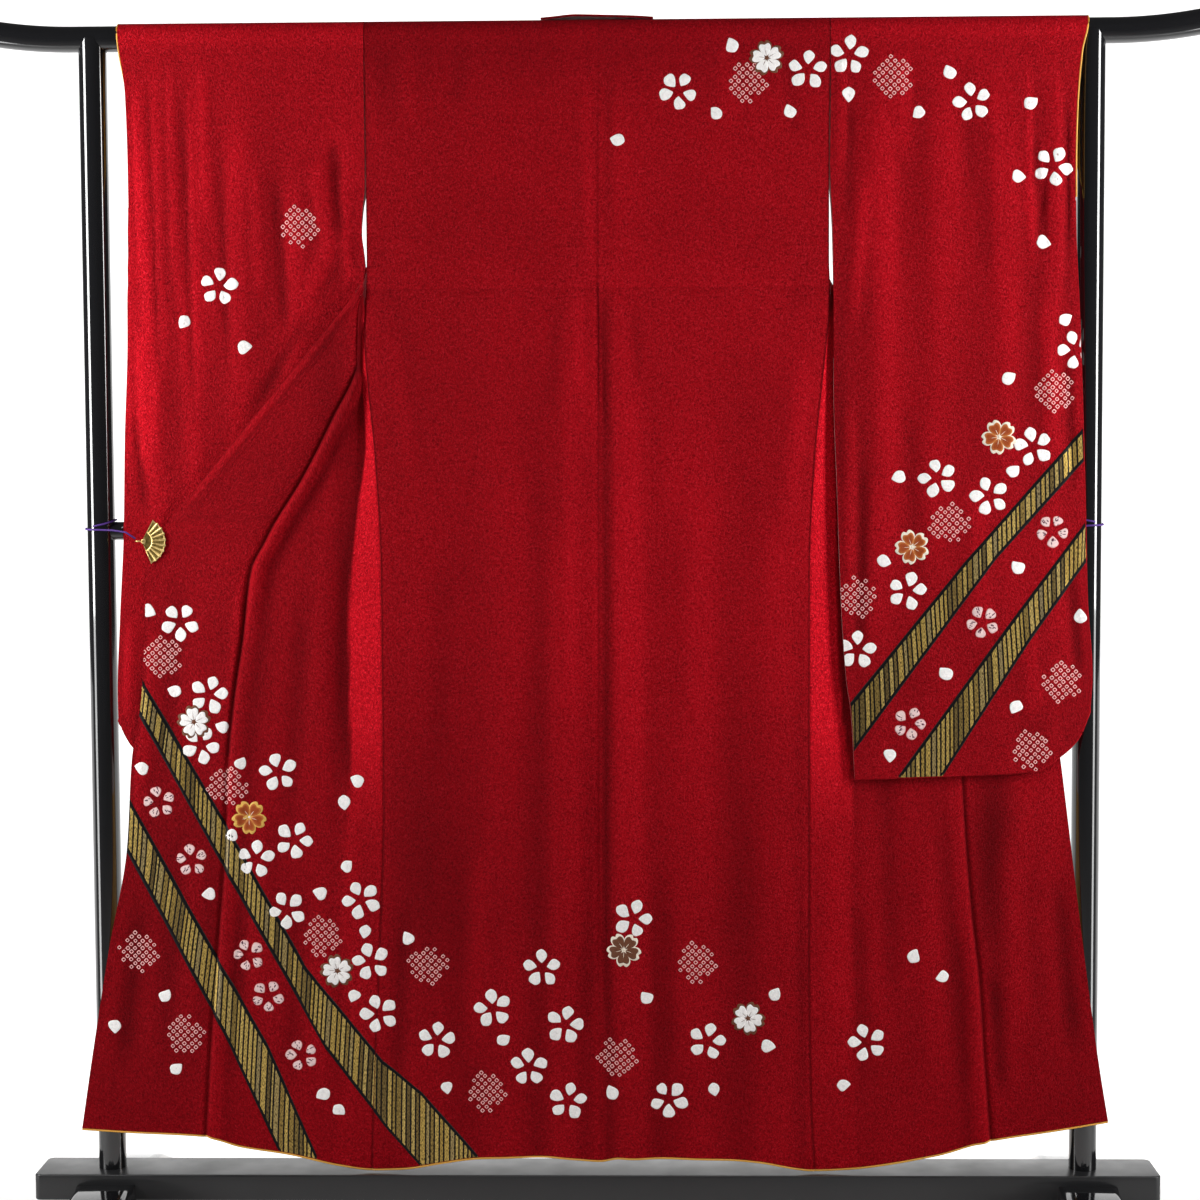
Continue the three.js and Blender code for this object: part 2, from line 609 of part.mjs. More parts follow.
const okumiHem = hemAt(-537) + hemLiningShows;
const okumiRows = sharedRows(okumiHem, okumiTop, okumiHem);
const collarRows = hangingRows(sharedRows(okumiHem, railHeight, collarEnd));

const frontLeft = frontPanel(leftLines, leftRoll, hemLiningShows);
const frontRight = frontPanel(rightLines, rightRoll, hemLiningShows);
const okumiLeft = okumiPanel(leftLines, hemLiningShows);
const okumiRight = okumiPanel(rightLines, hemLiningShows);

add('front_left', clothWall(frontLeft, frontColumns, bodyRows, clothThickness), crepe);
add('front_right', clothWall(frontRight, frontColumns, bodyRows, clothThickness), crepe);
add('okumi_left', clothWall(okumiLeft, steps(5), okumiRows, clothThickness), crepe);
add('okumi_right', clothWall(okumiRight, steps(5), okumiRows, clothThickness), crepe);
add('collar_left', clothWall(collarSide(leftLines), steps(2), collarRows, clothThickness), crepe);
add('collar_right', clothWall(collarSide(rightLines), steps(2), collarRows, clothThickness), crepe);

// The collar at the back of the neck lies over the ridge and hangs behind it.
function collarBack(u, v) {
  const x = mix(neckLeft, neckRight, u);
  const rise = curveOf(neckHump, 'x', 'lift')(x);
  const radius = ridgeRadius + clothThickness / 2 + seamGap + collarThickness / 2;
  const turn = mix(-0.3, Math.PI / 2, Math.min(v / 0.6, 1));
  const drop = Math.max(v - 0.6, 0) / 0.4;
  const lifted = rise * Math.max(Math.cos(turn), 0);
  const z = railHeight + radius * Math.cos(turn) + lifted - neckCollarDrop * drop;
  return new THREE.Vector3(x, radius * Math.sin(turn), z);
}
const neckRows = [0, 0.1, 0.2, 0.3, 0.4, 0.5, 0.6, 0.8, 1];
add('collar_back', clothWall(collarBack, steps(6), neckRows, collarThickness), crepe);

// ---- Linings where they show ----

// A strip inside a panel's bottom edge, made from the panel's own surface and
// moved in, with its lower edge just below the panel's.
function hemStrip(panel, panelShows, startRow, inward) {
  const inside = clothThickness / 2 + seamGap + liningThickness / 2;
  return (u, v) => {
    const low = panel(u, 1);
    const high = panel(u, startRow);
    const z = mix(low.z + hemLiningHeight, low.z - panelShows, v);
    const point = low.clone().lerp(high, clamp01((z - low.z) / (high.z - low.z)));
    return new THREE.Vector3(point.x, point.y + inward * inside, z);
  };
}

const hemPieces = {
  hem_back_left: [backLeft, 0.95, steps(9)],
  hem_back_right: [backRight, 0.95, steps(9)],
  hem_front_left: [frontLeft, 0.95, frontColumns],
  hem_front_right: [frontRight, 0.95, frontColumns],
  hem_okumi_left: [okumiLeft, 0.93, steps(5)],
  hem_okumi_right: [okumiRight, 0.93, steps(5)],
};
for (const [name, [panel, startRow, columns]] of Object.entries(hemPieces)) {
  const strip = hemStrip(panel, hemLiningShows, startRow, 1);
  add(name, clothWall(strip, columns, [0, 1], liningThickness), hemLining);
}

// The edge of the lining round a cuff: it stands out past the sleeve's edge.
function cuffEdge(surface, outerU) {
  return (u, v) => {
    const point = surface(outerU, v);
    point.x += Math.sign(point.x) * mix(seamGap, seamGap + cuffLiningShows, u);
    return point;
  };
}

const sleeveOuterBottom = 750;
const cuffShare = (railHeight - cuffBottom) / (railHeight - sleeveOuterBottom);
const cuffRows = sleeveRows.filter((v) => v < railShare + (1 - railShare) * cuffShare);
const cuffEdges = {
  cuff_lining_left_back: [sleeves.sleeve_left_back, 0],
  cuff_lining_left_front: [sleeves.sleeve_left_front, 1],
  cuff_lining_right_back: [sleeves.sleeve_right_back, 1],
  cuff_lining_right_front: [sleeves.sleeve_right_front, 0],
};
for (const [name, [surface, outerU]] of Object.entries(cuffEdges)) {
  const strip = cuffEdge(surface, outerU);
  add(name, clothWall(strip, [0, 1], cuffRows, clothThickness), hemLining);
}

// ---- The stand ----

// A round bar swept along a path of points.
function sweptRound(radius, path, sides) {
  const points = [];
  const index = [];
  const up = new THREE.Vector3(0, 0, 1);
  path.forEach((point, j) => {
    const before = path[Math.max(j - 1, 0)];
    const after = path[Math.min(j + 1, path.length - 1)];
    const ahead = after.clone().sub(before).normalize();
    const side = ahead.clone().cross(up).normalize();
    const top = side.clone().cross(ahead);
    for (let i = 0; i < sides; i += 1) {
      const angle = (i / sides) * Math.PI * 2;
      const spot = point.clone().addScaledVector(side, radius * Math.cos(angle));
      spot.addScaledVector(top, radius * Math.sin(angle));
      points.push(spot.x, spot.y, spot.z);
    }
  });
  const at = (j, i) => j * sides + (i % sides);
  for (let j = 0; j < path.length - 1; j += 1) {
    for (let i = 0; i < sides; i += 1) {
      index.push(at(j, i), at(j + 1, i + 1), at(j, i + 1));
      index.push(at(j, i), at(j + 1, i), at(j + 1, i + 1));
    }
  }
  const last = path.length - 1;
  for (let i = 1; i < sides - 1; i += 1) {
    index.push(at(0, 0), at(0, i), at(0, i + 1));
    index.push(at(last, 0), at(last, i + 1), at(last, i));
  }
  const geometry = new THREE.BufferGeometry();
  geometry.setAttribute('position', new THREE.Float32BufferAttribute(points, 3));
  geometry.setIndex(index);
  geometry.computeVertexNormals();
  return geometry;
}

// The top rail is straight between the uprights and turns up at both ends.
function topRailPath() {
  const bend = steps(5).slice(1).map((t) => ({
    x: railStraight + railBendRadius * Math.sin(t * railBendAngle),
    z: railHeight + railBendRadius * (1 - Math.cos(t * railBendAngle)),
  }));
  const right = [{ x: railStraight, z: railHeight }, ...bend];
  const left = right.map((point) => ({ x: -point.x, z: point.z })).reverse();
  return [...left, ...right].map((point) => new THREE.Vector3(point.x, 0, point.z));
}

function roundBar(radius, length, alongX) {
  const bar = new THREE.CylinderGeometry(radius, radius, length, 32);
  return alongX ? bar.rotateZ(Math.PI / 2) : bar.rotateX(Math.PI / 2);
}

// The uprights are cut out for the top rail that lies on them, and the middle
// rail's ends are cut to the uprights.
function addStand() {
  add('top_rail', sweptRound(railRadius, topRailPath(), 20), lacquer);
  const foot = boardTop + seamGap;
  const seat = solidOf(roundBar(railRadius + seamGap, 100, true).translate(0, 0, railHeight));
  const post = roundBar(uprightRadius, railHeight - foot, false);
  post.translate(0, 0, (railHeight + foot) / 2);
  const upright = geometryOf(solidOf(post).subtract(seat));
  add('upright_left', upright, lacquer).position.x = -uprightX;
  add('upright_right', upright.clone(), lacquer).position.x = uprightX;
  const bar = solidOf(roundBar(midRailRadius, uprightX * 2, true));
  const hole = solidOf(roundBar(uprightRadius + seamGap, 100, false));
  const midRail = bar.subtract(hole.translate([-uprightX, 0, 0])).subtract(
    hole.translate([uprightX, 0, 0]),
  );
  add('mid_rail', geometryOf(midRail), lacquer).position.z = midRailHeight;
}

function addBoard() {
  const x = boardLength / 2;
  const y = boardDepth / 2;
  const r = boardCornerRadius;
  const outline = new THREE.Shape();
  outline.moveTo(-x + r, -y);
  outline.lineTo(x - r, -y);
  outline.absarc(x - r, -y + r, r, -Math.PI / 2, 0);
  outline.absarc(x - r, y - r, r, 0, Math.PI / 2);
  outline.absarc(-x + r, y - r, r, Math.PI / 2, Math.PI);
  outline.absarc(-x + r, -y + r, r, Math.PI, Math.PI * 1.5);
  const board = new THREE.ExtrudeGeometry(outline, {
    depth: boardThickness, bevelEnabled: false, curveSegments: 4,
  });
  add('base_board', board, boardLacquer).position.z = boardTop - boardThickness;
}

// A foot runs crosswise under an upright, holds the board in a notch, and
// slopes down to both ends.
function addFeet() {
  const end = footLength / 2;
  const notch = boardDepth / 2 + seamGap;
  const floor = boardTop - boardThickness - seamGap;
  const profile = new THREE.Shape();
  profile.moveTo(-end, 0);
  profile.lineTo(end, 0);
  profile.lineTo(end, footTipHeight);
  profile.quadraticCurveTo(end * 0.55, footTop, notch + 20, footTop);
  profile.lineTo(notch, footTop);
  profile.lineTo(notch, floor);
  profile.lineTo(-notch, floor);
  profile.lineTo(-notch, footTop);
  profile.lineTo(-notch - 20, footTop);
  profile.quadraticCurveTo(-end * 0.55, footTop, -end, footTipHeight);
  profile.closePath();
  const foot = new THREE.ExtrudeGeometry(profile, {
    depth: footWidth, bevelEnabled: false, curveSegments: 8,
  });
  foot.applyMatrix4(new THREE.Matrix4().makeBasis(
    new THREE.Vector3(0, 1, 0), new THREE.Vector3(0, 0, 1), new THREE.Vector3(1, 0, 0),
  ));
  for (const [side, x] of [['left', -uprightX], ['right', uprightX]]) {
    add(`foot_${side}`, foot.clone(), lacquer).position.x = x - footWidth / 2;
  }
}

// ---- The fan clips and their cords ----

// An open folding fan in the plane y = 0 with its pivot at the origin. It
// opens towards +X and its pleats stand out towards -Y.
function fanPlate(u, v) {
  const angle = mix(-68, 62, u) * (Math.PI / 180);
  const pleat = Math.cos(u * clipRibs * Math.PI * 2);
  const guard = v < 0.26;
  const radius = mix(4.5, clipRadius + 0.9 * pleat, v);
  const y = guard ? -1.1 : -0.5 - 0.45 * pleat;
  return new THREE.Vector3(radius * Math.cos(angle), y, radius * Math.sin(angle));
}

// The clip grips the cloth between the fan and a jaw on the cloth's far side.
function fanClip(jawDepth) {
  const fan = clothWall(fanPlate, steps(clipRibs * 2), [0, 0.25, 0.27, 1], 1.2);
  const bridge = new THREE.BoxGeometry(3, jawDepth + 1.6, 14);
  bridge.translate(3.6, jawDepth / 2 - 0.4, 0);
  const jaw = new THREE.BoxGeometry(20, 1.2, 14);
  jaw.translate(12.1, jawDepth - 0.2, 0);
  return geometryOf(solidOf(fan).add(solidOf(bridge)).add(solidOf(jaw)));
}

// The cord runs from the clip's ring to the upright and once round it.
function cordPath(start, between, centreX, side) {
  const round = uprightRadius + seamGap + cordDiameter / 2 + 0.15;
  const height = curveOf(cordTurn, 'turn', 'z');
  const loop = steps(22).map((t) => {
    const turn = t * 1.08;
    const angle = -Math.PI / 2 + side * (turn - 0.03) * Math.PI * 2;
    const x = centreX + round * Math.cos(angle);
    return new THREE.Vector3(x, round * Math.sin(angle), height(turn));
  });
  return [start, ...between, ...loop].map((point) => new THREE.Vector3(point.x, point.y, point.z));
}

function addClips() {
  const ring = new THREE.TorusGeometry(ringRadius, ringWire, 6, 12);
  ring.rotateX(Math.PI / 2);
  const leftClip = add('fan_clip_left', fanClip(4.6), gold);
  leftClip.position.set(clipPivotLeft.x, clipPivotLeft.y, clipPivotLeft.z);
  const rightClip = add('fan_clip_right', fanClip(4.6), gold);
  rightClip.position.set(clipPivotRight.x, clipPivotRight.y, clipPivotRight.z);
  rightClip.rotation.z = Math.PI;
  const leftRing = add('clip_ring_left', ring.clone(), gold);
  leftRing.position.set(clipPivotLeft.x - 3.75, clipPivotLeft.y - 0.4, clipPivotLeft.z + 0.3);
  const rightRing = add('clip_ring_right', ring.clone(), gold);
  rightRing.position.set(clipPivotRight.x + 3.75, clipPivotRight.y + 0.4, clipPivotRight.z + 0.3);
  const leftCord = cordPath(
    { x: -620.4, y: -29.7, z: 997.1 },
    [{ x: -634, y: -28.5, z: 1006 }, { x: -652, y: -25.6, z: 1008.6 }],
    -uprightX, -1,
  );
  add('cord_left', sweptRound(cordDiameter / 2, leftCord, 8), cordSilk);
  const rightCord = cordPath(
    { x: 628.7, y: -12.9, z: 963.6 },
    [{ x: 641, y: -14.8, z: 985 }, { x: 652, y: -18.8, z: 1004 }],
    uprightX, 1,
  );
  add('cord_right', sweptRound(cordDiameter / 2, rightCord, 8), cordSilk);
}

addStand();
addBoard();
addFeet();
addClips();

export default group;
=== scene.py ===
import json
import math
import bpy
import numpy as np
from mathutils import Matrix, Vector

# A furisode kimono hung over a lacquered kimono stand, seen from its back.
# Shapes are worked out in millimetres, x to the right, z up, -y to the front,
# and become metres when a mesh is made.
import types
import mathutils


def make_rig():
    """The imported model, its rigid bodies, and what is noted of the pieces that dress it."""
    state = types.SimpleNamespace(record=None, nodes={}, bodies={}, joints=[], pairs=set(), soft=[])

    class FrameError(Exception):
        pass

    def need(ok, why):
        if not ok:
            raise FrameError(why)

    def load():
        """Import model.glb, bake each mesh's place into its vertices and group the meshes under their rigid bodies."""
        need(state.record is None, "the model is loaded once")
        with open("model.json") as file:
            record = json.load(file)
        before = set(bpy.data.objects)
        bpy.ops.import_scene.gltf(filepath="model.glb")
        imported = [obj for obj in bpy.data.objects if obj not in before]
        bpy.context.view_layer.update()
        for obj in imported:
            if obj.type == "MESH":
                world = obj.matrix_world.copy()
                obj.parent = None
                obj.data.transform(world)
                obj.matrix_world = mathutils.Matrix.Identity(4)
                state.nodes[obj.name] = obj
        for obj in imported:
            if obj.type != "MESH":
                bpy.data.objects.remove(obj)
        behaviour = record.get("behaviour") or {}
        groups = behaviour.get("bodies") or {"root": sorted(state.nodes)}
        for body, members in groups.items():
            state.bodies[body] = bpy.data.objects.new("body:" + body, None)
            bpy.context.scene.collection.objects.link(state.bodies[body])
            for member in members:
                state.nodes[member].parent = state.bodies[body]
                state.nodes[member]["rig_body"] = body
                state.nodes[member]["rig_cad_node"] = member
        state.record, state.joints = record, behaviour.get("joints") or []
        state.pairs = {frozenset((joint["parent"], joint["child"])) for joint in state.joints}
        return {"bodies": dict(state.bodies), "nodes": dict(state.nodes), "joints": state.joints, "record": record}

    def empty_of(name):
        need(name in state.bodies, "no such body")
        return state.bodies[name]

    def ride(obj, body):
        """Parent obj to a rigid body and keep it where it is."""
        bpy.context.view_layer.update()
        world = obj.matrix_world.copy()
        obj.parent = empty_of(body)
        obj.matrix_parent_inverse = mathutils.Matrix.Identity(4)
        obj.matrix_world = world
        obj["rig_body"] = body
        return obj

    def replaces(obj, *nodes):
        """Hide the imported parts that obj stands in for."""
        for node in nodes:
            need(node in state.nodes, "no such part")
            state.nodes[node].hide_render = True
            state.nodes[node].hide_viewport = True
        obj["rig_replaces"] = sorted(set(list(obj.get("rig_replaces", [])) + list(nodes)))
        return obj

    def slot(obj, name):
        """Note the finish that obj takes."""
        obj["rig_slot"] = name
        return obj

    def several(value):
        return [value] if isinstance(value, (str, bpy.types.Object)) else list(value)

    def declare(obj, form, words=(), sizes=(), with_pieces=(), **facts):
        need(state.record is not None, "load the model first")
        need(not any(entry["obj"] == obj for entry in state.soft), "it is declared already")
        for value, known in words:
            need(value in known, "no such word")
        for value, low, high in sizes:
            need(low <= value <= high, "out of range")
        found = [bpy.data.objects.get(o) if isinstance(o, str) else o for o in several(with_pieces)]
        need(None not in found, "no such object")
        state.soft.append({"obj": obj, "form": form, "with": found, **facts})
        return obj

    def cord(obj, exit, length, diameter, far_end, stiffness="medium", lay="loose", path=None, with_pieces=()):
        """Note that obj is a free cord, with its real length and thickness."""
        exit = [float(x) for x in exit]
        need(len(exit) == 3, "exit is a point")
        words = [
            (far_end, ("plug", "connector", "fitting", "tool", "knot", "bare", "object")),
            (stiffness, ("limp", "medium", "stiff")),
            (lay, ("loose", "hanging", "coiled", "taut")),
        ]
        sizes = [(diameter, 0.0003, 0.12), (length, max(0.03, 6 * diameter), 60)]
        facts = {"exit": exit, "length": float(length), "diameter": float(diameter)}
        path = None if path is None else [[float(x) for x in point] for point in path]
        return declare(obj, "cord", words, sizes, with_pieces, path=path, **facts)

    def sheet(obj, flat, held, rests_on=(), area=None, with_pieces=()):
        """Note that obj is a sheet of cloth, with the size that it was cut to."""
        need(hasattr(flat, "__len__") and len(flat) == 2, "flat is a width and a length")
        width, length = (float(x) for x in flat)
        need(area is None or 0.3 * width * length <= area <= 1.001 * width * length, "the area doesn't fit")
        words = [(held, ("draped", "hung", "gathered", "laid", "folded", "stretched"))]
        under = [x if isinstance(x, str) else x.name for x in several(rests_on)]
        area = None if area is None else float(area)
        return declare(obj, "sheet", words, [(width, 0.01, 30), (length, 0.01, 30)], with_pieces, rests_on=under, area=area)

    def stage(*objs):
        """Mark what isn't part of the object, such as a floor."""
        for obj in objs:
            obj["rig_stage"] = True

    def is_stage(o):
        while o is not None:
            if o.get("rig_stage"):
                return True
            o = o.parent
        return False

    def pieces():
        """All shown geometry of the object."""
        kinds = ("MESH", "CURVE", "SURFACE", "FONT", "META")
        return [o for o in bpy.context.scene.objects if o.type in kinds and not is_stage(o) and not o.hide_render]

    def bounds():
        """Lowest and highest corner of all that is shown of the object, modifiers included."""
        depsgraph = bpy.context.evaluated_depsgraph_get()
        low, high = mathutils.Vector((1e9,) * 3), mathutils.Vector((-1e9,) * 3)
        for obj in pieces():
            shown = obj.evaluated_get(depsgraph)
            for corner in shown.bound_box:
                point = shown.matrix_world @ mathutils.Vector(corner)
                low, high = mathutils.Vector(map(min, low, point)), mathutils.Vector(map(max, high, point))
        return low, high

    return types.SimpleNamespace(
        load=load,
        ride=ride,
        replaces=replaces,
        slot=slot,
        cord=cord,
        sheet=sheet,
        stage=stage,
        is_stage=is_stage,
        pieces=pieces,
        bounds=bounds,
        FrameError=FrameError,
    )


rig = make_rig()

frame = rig.load()
cadBox = [list(corner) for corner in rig.bounds()]
millimetre = 0.001
print("stage: the packed model is loaded")

# ---- camera ----

cameraView = {
    "place": (74.9, -3046.6, 1094.4),
    "turnLeft": 1.2147,      # degrees
    "tiltDown": 3.4721,
    "roll": -0.2865,
    "lens": 66.898,
    "sensor": 36,            # its width
    "farthest": 50,          # metres
    "frameSize": 1200,       # both sides of the camera's frame, in its own units
    "clothDepth": -27.0,     # y of the plane in which the pattern's places are read
}


def cameraAxes():
    turn, tilt, roll = (math.radians(cameraView[key]) for key in ("turnLeft", "tiltDown", "roll"))
    ahead = np.array([-math.sin(turn) * math.cos(tilt), math.cos(turn) * math.cos(tilt), -math.sin(tilt)])
    right = np.array([math.cos(turn), math.sin(turn), 0.0])
    up = np.cross(right, ahead)
    across = right * math.cos(roll) + up * math.sin(roll)
    return across, up * math.cos(roll) - right * math.sin(roll), ahead


def addCamera():
    right, up, ahead = cameraAxes()
    data = bpy.data.cameras.new("camera")
    data.lens = cameraView["lens"]
    data.sensor_width = cameraView["sensor"]
    data.clip_end = cameraView["farthest"]
    eye = bpy.data.objects.new("camera", data)
    place = np.array(cameraView["place"]) * millimetre
    eye.matrix_world = Matrix([[right[k], up[k], -ahead[k], place[k]] for k in range(3)] + [[0, 0, 0, 1]])
    bpy.context.scene.collection.objects.link(eye)
    bpy.context.scene.camera = eye


# The point of the plane y = clothDepth that is seen at a place of the camera's frame: the
# camera's place plus the line of sight, as long as it takes to reach that plane.
def seenAt(across, down):
    right, up, ahead = cameraAxes()
    half = cameraView["frameSize"] / 2
    focal = cameraView["lens"] / cameraView["sensor"] * cameraView["frameSize"]
    across, down = np.asarray(across, float), np.asarray(down, float)
    sight = ahead + ((across - half) / focal)[..., None] * right - ((down - half) / focal)[..., None] * up
    place = np.array(cameraView["place"])
    reach = (cameraView["clothDepth"] - place[1]) / sight[..., 1]
    point = place + reach[..., None] * sight
    return point[..., 0], point[..., 2]


addCamera()
print("stage: camera")

# ---- number tools ----


def mix(a, b, t):
    return a + (b - a) * t


def smooth(t):
    t = np.clip(t, 0, 1)
    return t * t * (3 - 2 * t)


def bell(t):
    return np.exp(-t * t)


# A smooth curve through (place, value) pairs that doesn't overshoot between them:
# cubic pieces whose slope at each pair is the harmonic mean of its neighbours'.
def curve(pairs):
    at, value = np.array(sorted(pairs), float).T
    rise = np.diff(value) / np.diff(at)
    same = rise[:-1] * rise[1:] > 0
    total = np.where(same, rise[:-1] + rise[1:], 1)
    inner = np.where(same, 2 * rise[:-1] * rise[1:] / total, 0)
    slope = np.concatenate([rise[:1], inner, rise[-1:]])

    def valueAt(place):
        i = np.clip(np.searchsorted(at, place, side="right") - 1, 0, len(at) - 2)
        span = at[i + 1] - at[i]
        t = np.clip((place - at[i]) / span, 0, 1)
        start = (1 + 2 * t) * (1 - t) ** 2
        leave, arrive = t * (1 - t) ** 2 * span * slope[i], t * t * (t - 1) * span * slope[i + 1]
        return start * value[i] + (1 - start) * value[i + 1] + leave + arrive

    return valueAt


# One curve for each column of a table whose first column is the place.
def columns(table):
    rows = np.array(table, float)
    return [curve(list(zip(rows[:, 0], rows[:, k]))) for k in range(1, rows.shape[1])]


# Soft ridges (height > 0, towards the front) and troughs. Each runs straight from
# one end to the other, is bell-shaped across and fades out towards both ends.
def creaseDepth(creases, x, z):
    total = np.zeros(np.broadcast(x, z).shape)
    for x0, z0, x1, z1, width, height in creases:
        long = math.hypot(x1 - x0, z1 - z0)
        ax, az = (x1 - x0) / long, (z1 - z0) / long
        along = ((x - x0) * ax + (z - z0) * az) / long
        aside = (x - x0) * az - (z - z0) * ax
        total = total + height * bell(aside / width) * smooth(along / 0.3) * smooth((1 - along) / 0.3)
    return total


# Even turns round a circle.
def turns(count):
    return np.linspace(0, 2 * math.pi, count, endpoint=False)


# How far each point of a line or grid is from the first, along one of its axes.
def distances(points, axis=0):
    steps = np.linalg.norm(np.diff(points, axis=axis), axis=-1)
    return np.cumsum(np.insert(steps, 0, 0.0, axis=axis), axis=axis)


# ---- names ----

sides = {"Left": -1, "Right": 1}


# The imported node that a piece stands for: backLeft is back_left there.
def nodeName(name):
    return "".join("_" + letter.lower() if letter.isupper() else letter for letter in name)


def titled(prefix, name):
    return prefix + name[0].upper() + name[1:]


# ---- mesh tools ----


def meshPiece(name, points, faces, materials, faceMaterial=None, uv=None, shade=None):
    mesh = bpy.data.meshes.new(name)
    mesh.from_pydata((np.asarray(points) * millimetre).tolist(), [], [list(face) for face in faces])
    for material in materials:
        mesh.materials.append(material)
    mesh.polygons.foreach_set("use_smooth", np.ones(len(mesh.polygons), bool))
    if faceMaterial is not None:
        mesh.polygons.foreach_set("material_index", np.asarray(faceMaterial, np.int32))
    corner = np.empty(len(mesh.loops), np.int32)
    mesh.loops.foreach_get("vertex_index", corner)
    if uv is not None:
        layer = mesh.uv_layers.new(name="cloth")
        layer.data.foreach_set("uv", np.asarray(uv, np.float32)[corner].ravel())
    if shade is not None:
        layer = mesh.attributes.new("shade", "FLOAT", "POINT")
        layer.data.foreach_set("value", np.asarray(shade, np.float32))
    mesh.update()
    piece = bpy.data.objects.new(name, mesh)
    bpy.context.scene.collection.objects.link(piece)
    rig.ride(piece, "root")
    return piece


def sharpEdges(piece, degrees):
    piece.data.set_sharp_from_angle(angle=math.radians(degrees))


# The quads of a grid of rows by wide points, numbered from first.
def gridFaces(rows, wide, first=0, flip=False, closed=False):
    j, i = np.meshgrid(np.arange(rows - 1), np.arange(wide if closed else wide - 1), indexing="ij")
    a = first + j * wide + i
    b = first + j * wide + (i + 1) % wide
    quads = np.stack([a, b, b + wide, a + wide], -1).reshape(-1, 4)
    return quads[:, ::-1] if flip else quads


# The faces of a solid made of rings: the quads between them, and a cap at both ends.
def ringFaces(rings, sides, flip=False):
    faces = gridFaces(rings, sides, closed=True).tolist()
    faces += [list(range(sides - 1, -1, -1)), list(range((rings - 1) * sides, rings * sides))]
    return [face[::-1] for face in faces] if flip else faces


# The faces of a shell whose points are a grid and then its copy: both faces, and the rim
# between their borders. The grid's own face looks along across x down.
def shellFaces(rows, wide, flip=False):
    count = rows * wide
    right, bottom = np.arange(1, rows) * wide + wide - 1, (rows - 1) * wide + np.arange(wide - 2, -1, -1)
    border = np.concatenate([np.arange(wide), right, bottom, np.arange(rows - 2, 0, -1) * wide])
    follow = np.roll(border, -1)
    rim = np.stack([border, border + count, follow + count, follow], -1)
    faces = np.concatenate([gridFaces(rows, wide), gridFaces(rows, wide, count, flip=True), rim])
    return faces[:, ::-1] if flip else faces


# Unit normals of a grid of points: across its rows, then down its columns.
def gridNormals(points):
    normal = np.cross(np.gradient(points, axis=1), np.gradient(points, axis=0))
    return normal / np.maximum(np.linalg.norm(normal, axis=2, keepdims=True), 1e-9)


# The UV of a grid from its places across and along, in metres.
def gridUv(across, along):
    return np.stack(np.broadcast_arrays(across, along), -1).reshape(-1, 2) * millimetre


# A round bar: circles of the given radii about a path, each at right angles to it.
def tube(path, radii, sides):
    path, radii = np.asarray(path, float), np.broadcast_to(radii, len(path))
    ahead = np.gradient(path, axis=0)
    ahead /= np.linalg.norm(ahead, axis=1, keepdims=True)
    near = np.where(np.abs(ahead[:, 2:3]) > 0.9, [[0.0, 1.0, 0.0]], [[0.0, 0.0, 1.0]])
    side = np.cross(ahead, near)
    side /= np.linalg.norm(side, axis=1, keepdims=True)
    top = np.cross(side, ahead)
    turn = turns(sides)[None, :, None]
    around = np.cos(turn) * side[:, None] + np.sin(turn) * top[:, None]
    rings = path[:, None] + radii[:, None, None] * around
    uv = gridUv(turn[..., 0] * radii.max(), distances(path)[:, None])
    return rings.reshape(-1, 3), ringFaces(len(path), sides, flip=True), uv


# ---- materials ----


def newMaterial(name, color, roughness, **settings):
    material = bpy.data.materials.new(name)
    material.use_nodes = True
    shader = material.node_tree.nodes["Principled BSDF"]
    shader.inputs["Base Color"].default_value = (*color, 1)
    shader.inputs["Roughness"].default_value = roughness
    for key, value in settings.items():
        shader.inputs[key].default_value = value
    return material


# Adds a node to a material. Each value is a setting, an input's number, or a link.
def node(material, kind, inputs=(), **settings):
    made = material.node_tree.nodes.new(kind)
    for key, value in settings.items():
        setattr(made, key, value)
    for key, value in dict(inputs).items():
        if isinstance(value, bpy.types.NodeSocket):
            material.node_tree.links.new(value, made.inputs[key])
        else:
            made.inputs[key].default_value = value
    return made


def link(material, output, socket):
    shader = material.node_tree.nodes["Principled BSDF"]
    material.node_tree.links.new(output, shader.inputs[socket])


def ramp(material, value, stops):
    made = node(material, "ShaderNodeValToRGB", {"Fac": value})
    elements = made.color_ramp.elements
    while len(elements) < len(stops):
        elements.new(0.5)
    for element, (place, color) in zip(elements, stops):
        element.position = place
        element.color = (*color, 1) if len(color) == 3 else color
    return made.outputs["Color"]


def mixColor(material, factor, first, second, blend="MIX"):
    made = node(material, "ShaderNodeMix", data_type="RGBA", blend_type=blend)
    links = material.node_tree.links
    for socket, value in ((made.inputs[0], factor), (made.inputs[6], first), (made.inputs[7], second)):
        if isinstance(value, bpy.types.NodeSocket):
            links.new(value, socket)
        else:
            socket.default_value = value
    return made.outputs[2]


def noise(material, vector, scale, detail, **inputs):
    values = {"Vector": vector, "Scale": scale, "Detail": detail, **inputs}
    return node(material, "ShaderNodeTexNoise", values).outputs["Fac"]


def maths(material, operation, first, second, clamp=False):
    made = node(material, "ShaderNodeMath", {0: first, 1: second}, operation=operation, use_clamp=clamp)
    return made.outputs[0]


def bumped(material, height, strength, distance):
    bump = node(material, "ShaderNodeBump", {"Height": height, "Strength": strength, "Distance": distance})
    link(material, bump.outputs[0], "Normal")


def coordinates(material, kind):
    return node(material, "ShaderNodeTexCoord").outputs[kind]


def stretched(material, vector, across, down):
    return node(material, "ShaderNodeMapping", {"Vector": vector, "Scale": (across, down, 1)}).outputs[0]


def shadeOf(material):
    return node(material, "ShaderNodeAttribute", attribute_name="shade").outputs["Fac"]


def grey(value):
    return value, value, value


